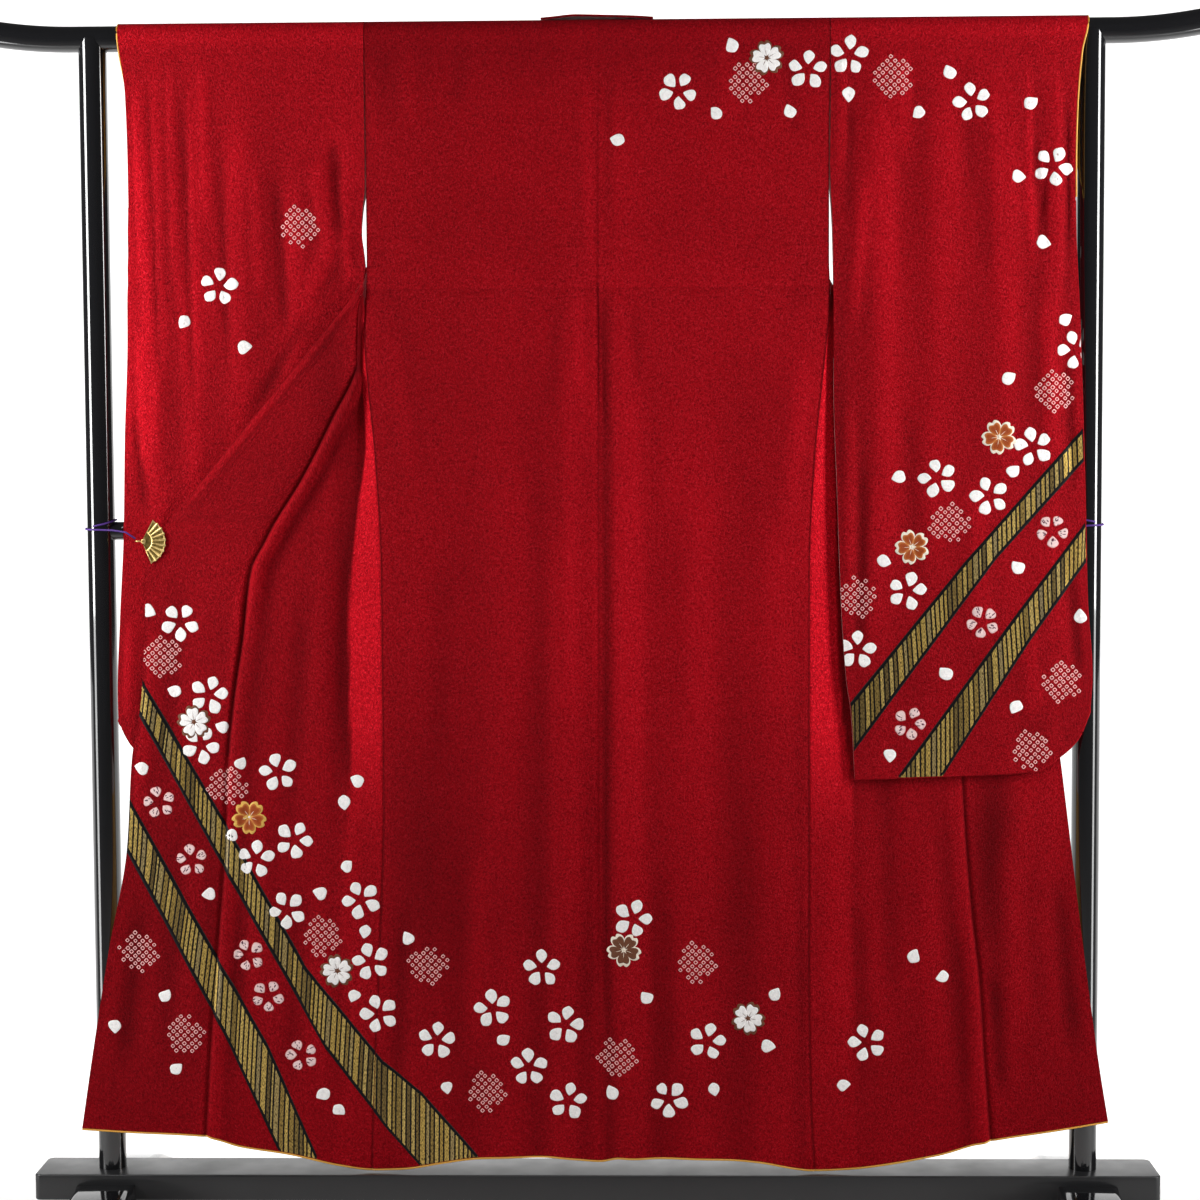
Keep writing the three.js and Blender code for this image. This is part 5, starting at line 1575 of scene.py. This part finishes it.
pattern = {
    "lift": 0.28,            # over the crepe
    "sink": -0.45,           # the outline goes into the crepe
    "blossom": {"radius": 27.0, "long": 0.69, "wide": 0.53, "cloth": "undyed", "flecks": 0},
    "spotted": {"radius": 27.0 * 0.88, "long": 0.62, "wide": 0.56, "cloth": "pinkish", "flecks": 6},
    "petal": (19.0, 15.5),
    "sakura": 25.0,
    "cluster": 29.0,         # radius of a cluster of dots
    "dotPitch": 7.5,
    "dotRadius": 2.9,
    "bandOutline": 4.0,
}
patternMaterials = {
    "undyed": undyed, "dotted": dotted, "orange": orange, "cream": cream, "ochre": ochre, "spots": spots,
    "striped": striped, "brown": brown, "pinkish": pinkish,
}
sakuraKinds = {               # border, petals, stamens
    "orangeSakura": ("cream", "orange", "cream"), "goldSakura": ("ochre", "orange", "cream"),
    "brownSakura": ("cream", "brown", "cream"), "whiteSakura": ("brown", "undyed", "brown"),
}
seeded = np.random.default_rng(11)
marks = {name: [] for name in panels}


# Lays the points (x, z) of a motif on a panel. Faces that lie wholly beside the panel
# are left out, and points that overhang its edge are drawn back to it.
def stamp(name, x, z, lift, faces, kind, shade):
    panel = panels[name]
    x0, x1 = panel["lines"](z)
    u = (x - x0) / (x1 - x0)
    low = panel["bottom"](np.clip(u, 0, 1))
    inside = (u > 0) & (u < 1) & (z > low + 0.5) & (z < panel["top"])
    faces = np.asarray(faces)
    faces = faces[inside[faces].any(axis=1)]
    if not len(faces):
        return
    point, uv = onPanel(panel, x, np.maximum(z, low + 0.5), lift)
    corners = point[faces]
    area = np.linalg.norm(np.cross(corners[:, 2] - corners[:, 0], corners[:, -1] - corners[:, 1]), axis=1)
    faces = faces[area > 0.02]
    used, numbers = np.unique(faces, return_inverse=True)
    if not len(used):
        return
    faces, point = numbers.reshape(faces.shape), point[used]
    outward = onPanel(panel, x[used], z[used], 1.0)[0] - onPanel(panel, x[used], z[used], 0.0)[0]
    first, second, third = (point[faces[:, k]] for k in range(3))
    normal = np.cross(second - first, third - second)
    if normal.sum(axis=0) @ outward.sum(axis=0) < 0:
        faces = faces[:, ::-1]
    number = list(patternMaterials).index(kind)
    marks[name].append((point, faces, [number] * len(faces), uv[used], np.asarray(shade)[used]))


# Lays a motif on each of some panels, its rim shaded by a share.
def stampAll(names, motif, kind, share=1.0):
    x, z, lift, faces, shade = motif
    for name in names:
        stamp(name, x, z, lift, faces, kind, shade * share)


# What lies out along an angle and aside from it, as x and z.
def turned(out, aside, angle):
    return (out * math.cos(angle) - aside * math.sin(angle), out * math.sin(angle) + aside * math.cos(angle))


def beside(centre, out, aside, angle):
    x, z = turned(out, aside, angle)
    return centre[0] + x, centre[1] + z


def oval(long, wide, angle=0.0):
    return lambda turn: turned(long * np.cos(turn), wide * np.sin(turn), angle)


# A disc-like motif from its outline (a function of the turn giving x, z about its
# centre): rings at shares of the outline, the last one sunk into the crepe.
def discMotif(outline, centre, shares=(0.04, 0.45, 0.8, 0.97, 1.0), count=24, lift=None):
    turn = turns(count)
    ox, oz = outline(turn)
    share = np.array(shares)[:, None]
    lifts = np.full((len(shares), count), pattern["lift"] if lift is None else lift)
    lifts[-1] = pattern["sink"]
    lifts[-2] *= 0.7
    first, second = np.arange(1, count - 1, 2), np.arange(2, count, 2)
    middle = np.stack([0 * first, first, second, (first + 2) % count], -1)
    faces = np.concatenate([gridFaces(len(shares), count, closed=True), middle])
    x, z = (centre[0] + share * ox).ravel(), (centre[1] + share * oz).ravel()
    return x, z, lifts.ravel(), faces, np.repeat(np.array(shares), count)


# A small disc in three rings.
def dotMotif(outline, centre, count, lift):
    return discMotif(outline, centre, (0.04, 0.8, 1.0), count, lift)


# The turn of an outline at its tip, from 0 to 1.
def atTip(turn):
    return bell(turn / 0.35) + bell((turn - 2 * math.pi) / 0.35)


# A petal: an oval, wider outside, narrow inside, its tip slightly drawn out or notched.
def petal(centre, turnTo, long, wide):
    wobble, lean = seeded.uniform(0, 6.28), seeded.uniform(-0.14, 0.14)
    size, tip = seeded.uniform(0.92, 1.06), seeded.choice([0.14, 0.10, -0.10])

    def outline(turn):
        out = long / 2 * size * (np.cos(turn) + tip * atTip(turn))
        out = out * (1 + 0.06 * bell((turn - math.pi) / 0.4))
        broad = 1 + 0.36 * np.cos(turn) - 0.08 * np.cos(2 * turn) + lean * np.sin(2 * turn)
        aside = wide / 2 * size * np.sin(turn) * broad * (1 + 0.05 * np.sin(3 * turn + wobble))
        return turned(out, aside, turnTo)

    return discMotif(outline, centre)


def petals(centre, radius, start):
    for k in range(5):
        turnTo = start + k * 2 * math.pi / 5 + seeded.uniform(-0.10, 0.10)
        yield turnTo, beside(centre, radius * 0.62, 0, turnTo)


# A five-petalled cherry blossom in outline: between the petals the outline dips, and
# each petal has a notch at its tip.
def sakuraRadius(turn, radius, start):
    sector = (turn - start + math.pi / 5) % (2 * math.pi / 5) - math.pi / 5
    return radius * (0.56 + 0.44 * np.cos(2.5 * sector) ** 0.55 - 0.15 * bell(sector / 0.10))


def addMotif(names, kind, centre):
    start = seeded.uniform(0, 6.28)
    if kind in ("blossom", "spotted"):
        addBlossom(names, kind, centre, start)
    elif kind == "petal":
        stampAll(names, petal(centre, start, *pattern["petal"]), "undyed")
    elif kind == "dots":
        addDots(names, centre, start)
    else:
        addSakura(names, kind, centre, start)


# A blossom of five separate petals, which measure long and wide as shares of its radius.
# Those of a spotted one are pinkish and have dark flecks.
def addBlossom(names, kind, centre, start):
    look = pattern[kind]
    radius = look["radius"]
    long, wide = radius * look["long"], radius * look["wide"]
    for turnTo, place in petals(centre, radius, start):
        stampAll(names, petal(place, turnTo, long, wide), look["cloth"])
        for _ in range(look["flecks"]):
            aside, out = seeded.uniform(-0.16, 0.16) * radius, seeded.uniform(-0.2, 0.24) * radius
            fleck = oval(seeded.uniform(1.2, 2.9), seeded.uniform(0.7, 1.05), turnTo)
            stampAll(names, dotMotif(fleck, beside(place, out, aside, turnTo), 8, 0.45), "spots", 0.0)


# Tie-dyed dots on a tilted grid, those inside the outline of a cherry blossom.
def addDots(names, centre, start):
    steps = np.arange(-6, 7)
    i, j = (grid.ravel() for grid in np.meshgrid(steps, steps))
    tilt = math.pi / 4 + seeded.uniform(-0.08, 0.08)
    px = pattern["dotPitch"] * (i * math.cos(tilt) - j * math.sin(tilt))
    pz = pattern["dotPitch"] * (i * math.sin(tilt) + j * math.cos(tilt))
    keep = np.hypot(px, pz) < sakuraRadius(np.arctan2(pz, px), pattern["cluster"], start) * 1.04
    for x, z in zip(px[keep], pz[keep]):
        place = (centre[0] + x + seeded.uniform(-0.5, 0.5), centre[1] + z + seeded.uniform(-0.5, 0.5))
        stampAll(names, dotRing(place, tilt), "dotted")


# One tie-dyed dot: a small square ring with rounded corners.
def dotRing(centre, tilt):
    turn = turns(8)
    corner = (np.abs(np.cos(turn)) ** 4 + np.abs(np.sin(turn)) ** 4) ** 0.25
    size = pattern["dotRadius"] * seeded.uniform(0.9, 1.08) / corner
    share = np.array([0.40, 0.52, 0.85, 1.0])[:, None]
    lift = np.array([pattern["sink"], 0.2, 0.25, pattern["sink"]])[:, None] + 0 * turn
    x = centre[0] + share * size * np.cos(turn + tilt)
    z = centre[1] + share * size * np.sin(turn + tilt)
    shade = (np.array([0.0, 0.0, 0.3, 0.8])[:, None] + 0 * turn).ravel()
    return x.ravel(), z.ravel(), lift.ravel(), gridFaces(4, 8, closed=True), shade


# An embroidered cherry blossom: the whole flower in its border colour, five smaller
# petals over it, and stamens.
def addSakura(names, kind, centre, start):
    border, fill, threads = sakuraKinds[kind]
    radius = pattern["sakura"]

    def whole(turn):
        reach = sakuraRadius(turn, radius, start)
        return reach * np.cos(turn), reach * np.sin(turn)

    stampAll(names, discMotif(whole, centre, count=100, lift=0.4), border, 0.0)
    for k in range(5):
        middle = start + k * 2 * math.pi / 5

        def outline(turn):
            out = mix(0.10 * radius, 0.84 * radius, (1 + np.cos(turn)) / 2) - 0.13 * radius * atTip(turn)
            return turned(out, 0.31 * radius * np.sin(turn) * (1 + 0.35 * np.cos(turn)), middle)

        hub = [part.mean() for part in outline(turns(24))]

        def aboutHub(turn):
            x, z = outline(turn)
            return x - hub[0], z - hub[1]

        stampAll(names, discMotif(aboutHub, (centre[0] + hub[0], centre[1] + hub[1]), lift=0.62), fill,
                 1.0 if fill == "orange" else 0.7)
        place = beside(centre, 0.28 * radius, 0, middle)
        stamen = dotMotif(oval(0.21 * radius, 0.45, middle), place, 12, 0.85)
        stampAll(names, stamen, threads, 0.0)
    stampAll(names, dotMotif(oval(0.08 * radius, 0.08 * radius), centre, 12, 0.85), threads, 0.0)


# A gold-striped band between two edges that run across panels. Along each line of equal
# u its upper and lower ends are where that line meets the edges, found by repeating
# z = edge(x(u, z)).
def addBand(name, upper, lower):
    panel = panels[name]
    x0, x1 = panel["lines"](np.array([700.0]))
    columnsAcross = int(abs(float(x1[0] - x0[0])) / 3) + 2
    u = np.linspace(0.002, 0.998, columnsAcross)
    low = panel["bottom"](u) + 0.6
    ends = []
    for edge, height in ((upper, 500.0), (lower, 450.0)):
        z = np.full(len(u), height)
        for _ in range(40):
            a, b = panel["lines"](z)
            z = mix(z, edge(mix(a, b, u)), 0.6)
        ends.append(z)
    high, under = ends
    shown = high > low + 0.8
    if shown.sum() < 2:
        return
    u, low, high, under = u[shown], low[shown], high[shown], under[shown]
    # The outline is as wide across a slanting edge as across a level one.
    across = np.maximum(np.abs(np.gradient(mix(*panel["lines"](high), u))), 1e-6)
    border = pattern["bandOutline"] * np.minimum(np.hypot(1, np.gradient(high) / across), 2.2)
    tall = high - under
    places = [0 * tall, border * 0.5, border - 0.05, border + 0.05]
    places += [mix(border, tall - border, t) for t in np.linspace(0.05, 0.95, 24)]
    places += [tall - border - 0.05, tall - border + 0.05, tall - border * 0.5, tall]
    z = np.maximum(high - np.stack(places), low)
    z = np.concatenate([z[:1], z, z[-1:]])
    a, b = panel["lines"](z)
    lift = np.full(z.shape, 0.22)
    lift[0] = lift[-1] = pattern["sink"]
    shade = np.zeros(z.shape)
    shade[:4] = shade[-4:] = 1
    shade[z <= low + 0.01] = 0
    stamp(name, mix(a, b, u).ravel(), z.ravel(), lift.ravel(), gridFaces(*z.shape), "striped", shade.ravel())


# An edge of a band through places of the camera's frame, straight on past its ends.


def edgeOf(places):
    x, z = seenAt(*np.array(places, float).T)
    order = np.argsort(x)
    x, z = x[order], z[order]
    first, last = (z[1] - z[0]) / (x[1] - x[0]), (z[-1] - z[-2]) / (x[-1] - x[-2])

    def edge(place):
        before, beyond = np.minimum(place - x[0], 0), np.maximum(place - x[-1], 0)
        return np.interp(place, x, z) + before * first + beyond * last

    return edge


# Motifs by kind at places of the camera's frame, on the panels that they may lie on.
motifs = {
    ("sleeveLeftBack",): {
        "dots": [(298, 226)], "blossom": [(218, 286)], "petal": [(183, 322), (244, 347)],
    },
    ("sleeveRightBack",): {
        "blossom": [(849.5, 54), (973, 101), (1053.5, 166), (1076, 350), (1033, 447), (937, 478), (989, 496),
                    (907, 591), (857, 650)],
        "petal": [(849, 94), (919, 112), (950, 71), (1032, 102), (1019, 176), (1044, 242), (1066, 319),
                  (1009, 378), (1013, 471), (898.5, 477), (884, 561), (1017, 567), (945, 673), (889.5, 755),
                  (1015, 707), (1080, 616)],
        "dots": [(895, 76), (1056.5, 391), (949, 524), (858, 597), (1063, 682), (1030, 750)],
        "orangeSakura": [(999, 437), (912, 547)],
        "spotted": [(1052, 531), (982, 622), (909, 723)],
    },
    ("backRight",): {
        "blossom": [(678, 90), (808, 69)], "petal": [(732, 44), (716, 112), (790, 110), (617, 139)],
        "dots": [(747, 80)], "whiteSakura": [(767, 57)],
    },
    ("backLeft", "backRight", "frontLeft", "frontRight", "okumiLeft", "okumiRight"): {
        "petal": [(138, 599), (149, 611), (174, 691), (222, 727), (241, 763), (231.5, 835), (357, 781),
                  (344, 803), (142, 768), (209, 894), (347, 866), (320, 893), (365, 932), (354, 996),
                  (408, 938), (166, 995), (115, 1026), (177, 1068), (323, 1094), (339.5, 1110), (504, 1039),
                  (447, 1087), (646, 997), (775, 993), (768, 1045), (612, 1092), (714, 1089), (844, 1085),
                  (942, 977), (914, 956)],
        "blossom": [(180, 622), (209, 695), (201, 745), (278, 772), (294, 840), (256, 859), (361, 900),
                    (287, 910), (371, 962), (379, 1014), (437, 1040), (493, 1008), (529, 1067), (542, 968),
                    (565, 1024), (568, 1100), (633, 918), (707, 1041), (669, 1099), (867, 1043)],
        "dots": [(164, 657), (227, 787), (321.5, 936), (139, 952), (185, 1035), (428, 964), (486, 1091),
                 (696, 962), (617, 1055)],
        "whiteSakura": [(194, 722), (337, 971), (748, 1018)],
        "goldSakura": [(249.5, 817)],
        "brownSakura": [(624, 949)],
        "spotted": [(159, 802), (192, 860), (249, 955), (268, 996), (302, 1055)],
    },
}

# More of them on sides that the camera doesn't see, at x, z in millimetres.
hiddenMotifs = {
    "sleeveLeftFront": {"blossom": [(-520, 1500), (-430, 960), (-560, 840), (-388, 780)],
                        "petal": [(-470, 1540), (-580, 1010), (-500, 900), (-360, 860), (-600, 760)],
                        "dots": [(-470, 850), (-590, 930)], "orangeSakura": [(-520, 760)]},
    "frontLeft": {"blossom": [(-250, 1590)], "petal": [(-215, 1560), (-282, 1540)], "dots": [(-262, 1632)]},
    "frontRight": {"blossom": [(262, 1600)], "petal": [(230, 1570), (296, 1560)], "dots": [(300, 1630)],
                   "whiteSakura": [(236, 1640)]},
    "sleeveRightFront": {"dots": [(420, 1180)], "blossom": [(520, 1230)]},
}

# Bands: the panels that they cross, then their upper and lower edges.
bands = [
    (("okumiLeft", "frontLeft", "backLeft"),
     [(142, 679), (230, 830), (306, 967), (383, 1061), (423, 1092), (478, 1155)],
     [(136.6, 711), (226, 872), (325, 1048), (386, 1128), (415, 1159)]),
    (("okumiLeft", "frontLeft"),
     [(130, 799), (222, 964), (268, 1044), (318, 1157)],
     [(125.5, 849), (222, 1029), (281, 1155)]),
    (("sleeveRightBack", "sleeveRightFront"),
     [(1084, 427), (966, 560), (850.5, 702)],
     [(1084, 461), (995, 560), (853.7, 751)]),
    (("sleeveRightBack", "sleeveRightFront"),
     [(1086, 521), (1010, 622), (897, 777)],
     [(1086, 562), (1030, 640), (941.5, 777)]),
]


def addPattern():
    for names, upper, lower in bands:
        for name in names:
            addBand(name, edgeOf(upper), edgeOf(lower))
    for names, kinds in motifs.items():
        for kind, places in kinds.items():
            for place in places:
                x, z = (float(value) for value in seenAt(*place))
                addMotif(names, kind, (x, z))
                # The far half of a sleeve has the same flowers, moved a little.
                if names[0] in ("sleeveLeftBack", "sleeveRightBack"):
                    moved = (x + seeded.uniform(-9, 9), z + seeded.uniform(-12, 12))
                    addMotif((names[0].replace("Back", "Front"),), kind, moved)
    for name, kinds in hiddenMotifs.items():
        for kind, places in kinds.items():
            for place in places:
                addMotif((name,), kind, place)


# Makes one piece of all the marks on a panel.
def finishPattern(name):
    points, faces, kinds = joined([mark[:3] for mark in marks[name]])
    uv, shade = (np.concatenate([mark[k] for mark in marks[name]]) for k in (3, 4))
    materials = list(patternMaterials.values())
    return meshPiece(titled("pattern", name), points, faces, materials, kinds, uv, shade)


addPattern()
for name in panels:
    if marks[name]:
        piece = finishPattern(name)
        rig.slot(piece, "crepe")
        extras.setdefault(name, []).append(piece)
    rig.sheet(panels[name]["piece"], held="hung", rests_on=["topRail"], with_pieces=extras.get(name, []),
             **sheets[name])
print("stage: pattern")

# ---- studio ----

studio = {                   # metres
    "floorFront": -8.0, "floorBack": 7.0, "bend": 1.2, "wallTop": 6.0, "halfWidth": 9.0,
    "roomLight": 0.06,       # of the world as a light
    "softboxes": {"left": (-1.5, -0.50), "right": (1.56, -0.54)},
}


# The backdrop: a level floor that bends up into a wall.
def addStudio():
    back, bend = studio["floorBack"], studio["bend"]
    turn = np.linspace(0, 1, 24)[1:] * math.pi / 2
    arc = [(back + bend * math.sin(angle), bend - bend * math.cos(angle)) for angle in turn]
    profile = [(studio["floorFront"], 0.0), (back, 0.0), *arc, (back + bend, studio["wallTop"])]
    profile = np.array(profile) * 1000
    x = np.array([-1000.0, 1000.0]) * studio["halfWidth"]
    grid = np.stack(np.broadcast_arrays(x[None, :], profile[:, :1], profile[:, 1:]), -1)
    sweep = meshPiece("backdrop", grid.reshape(-1, 3), gridFaces(len(profile), 2), [paper])
    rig.stage(sweep)


def addLight(name, place, target, size, power, color=(1, 1, 1)):
    data = bpy.data.lights.new(name, "AREA")
    data.shape, data.energy, data.color = "RECTANGLE", power, color
    data.size, data.size_y = size
    lamp = bpy.data.objects.new(name, data)
    lamp.location = place
    lamp.visible_camera = False
    lamp.rotation_euler = (Vector(target) - Vector(place)).to_track_quat("-Z", "Y").to_euler()
    bpy.context.scene.collection.objects.link(lamp)


# Pale paper that glows towards the back, so that the far side of the set is white, and
# towards the front only where the camera looks at it.
def paperMaterial():
    material = newMaterial("whitePaper", (0.80, 0.80, 0.79), 0.9, **{"Emission Color": (1, 1, 1, 1)})
    parts = node(material, "ShaderNodeSeparateXYZ", {"Vector": coordinates(material, "Object")}).outputs

    def rising(start, end, most):
        values = {"Value": parts["Y"], "From Min": start, "From Max": end, "To Min": 0.0, "To Max": most}
        return node(material, "ShaderNodeMapRange", values).outputs[0]

    looked = node(material, "ShaderNodeLightPath").outputs["Is Camera Ray"]
    seen = maths(material, "MULTIPLY", rising(-0.7, -2.5, 0.7), looked)
    link(material, maths(material, "ADD", rising(0.0, 0.5, 1.0), seen), "Emission Strength")
    return material


# The room is white where it is looked at, and dim as a light.
def addWorld():
    world = bpy.data.worlds.new("studio")
    world.use_nodes = True
    room = world.node_tree.nodes["Background"]
    room.inputs["Color"].default_value = (1, 1, 1, 1)
    path = world.node_tree.nodes.new("ShaderNodeLightPath")
    strength = world.node_tree.nodes.new("ShaderNodeMapRange")
    strength.inputs["To Min"].default_value = studio["roomLight"]
    strength.inputs["To Max"].default_value = 1.0
    world.node_tree.links.new(path.outputs["Is Camera Ray"], strength.inputs["Value"])
    world.node_tree.links.new(strength.outputs[0], room.inputs["Strength"])
    bpy.context.scene.world = world


paper = paperMaterial()
addStudio()
for side, (x, y) in studio["softboxes"].items():
    addLight(side + "Softbox", (x, y, 1.48), (0.25 * x, 0, 1.48), (0.3, 1.3), 23)
    addLight(side + "LowSoftbox", (x, y, 0.44), (0.25 * x, 0, 0.44), (0.3, 0.78), 4.5)
addLight("topFill", (0.1, -2.1, 2.9), (0, 0, 1.4), (1.6, 0.8), 15)
addWorld()
bpy.context.scene.view_settings.view_transform = "Standard"
print("stage: studio")

boxes = {"cad": cadBox, "visual": [list(corner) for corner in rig.bounds()]}
with open("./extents.json", "w") as out:
    json.dump(boxes, out)
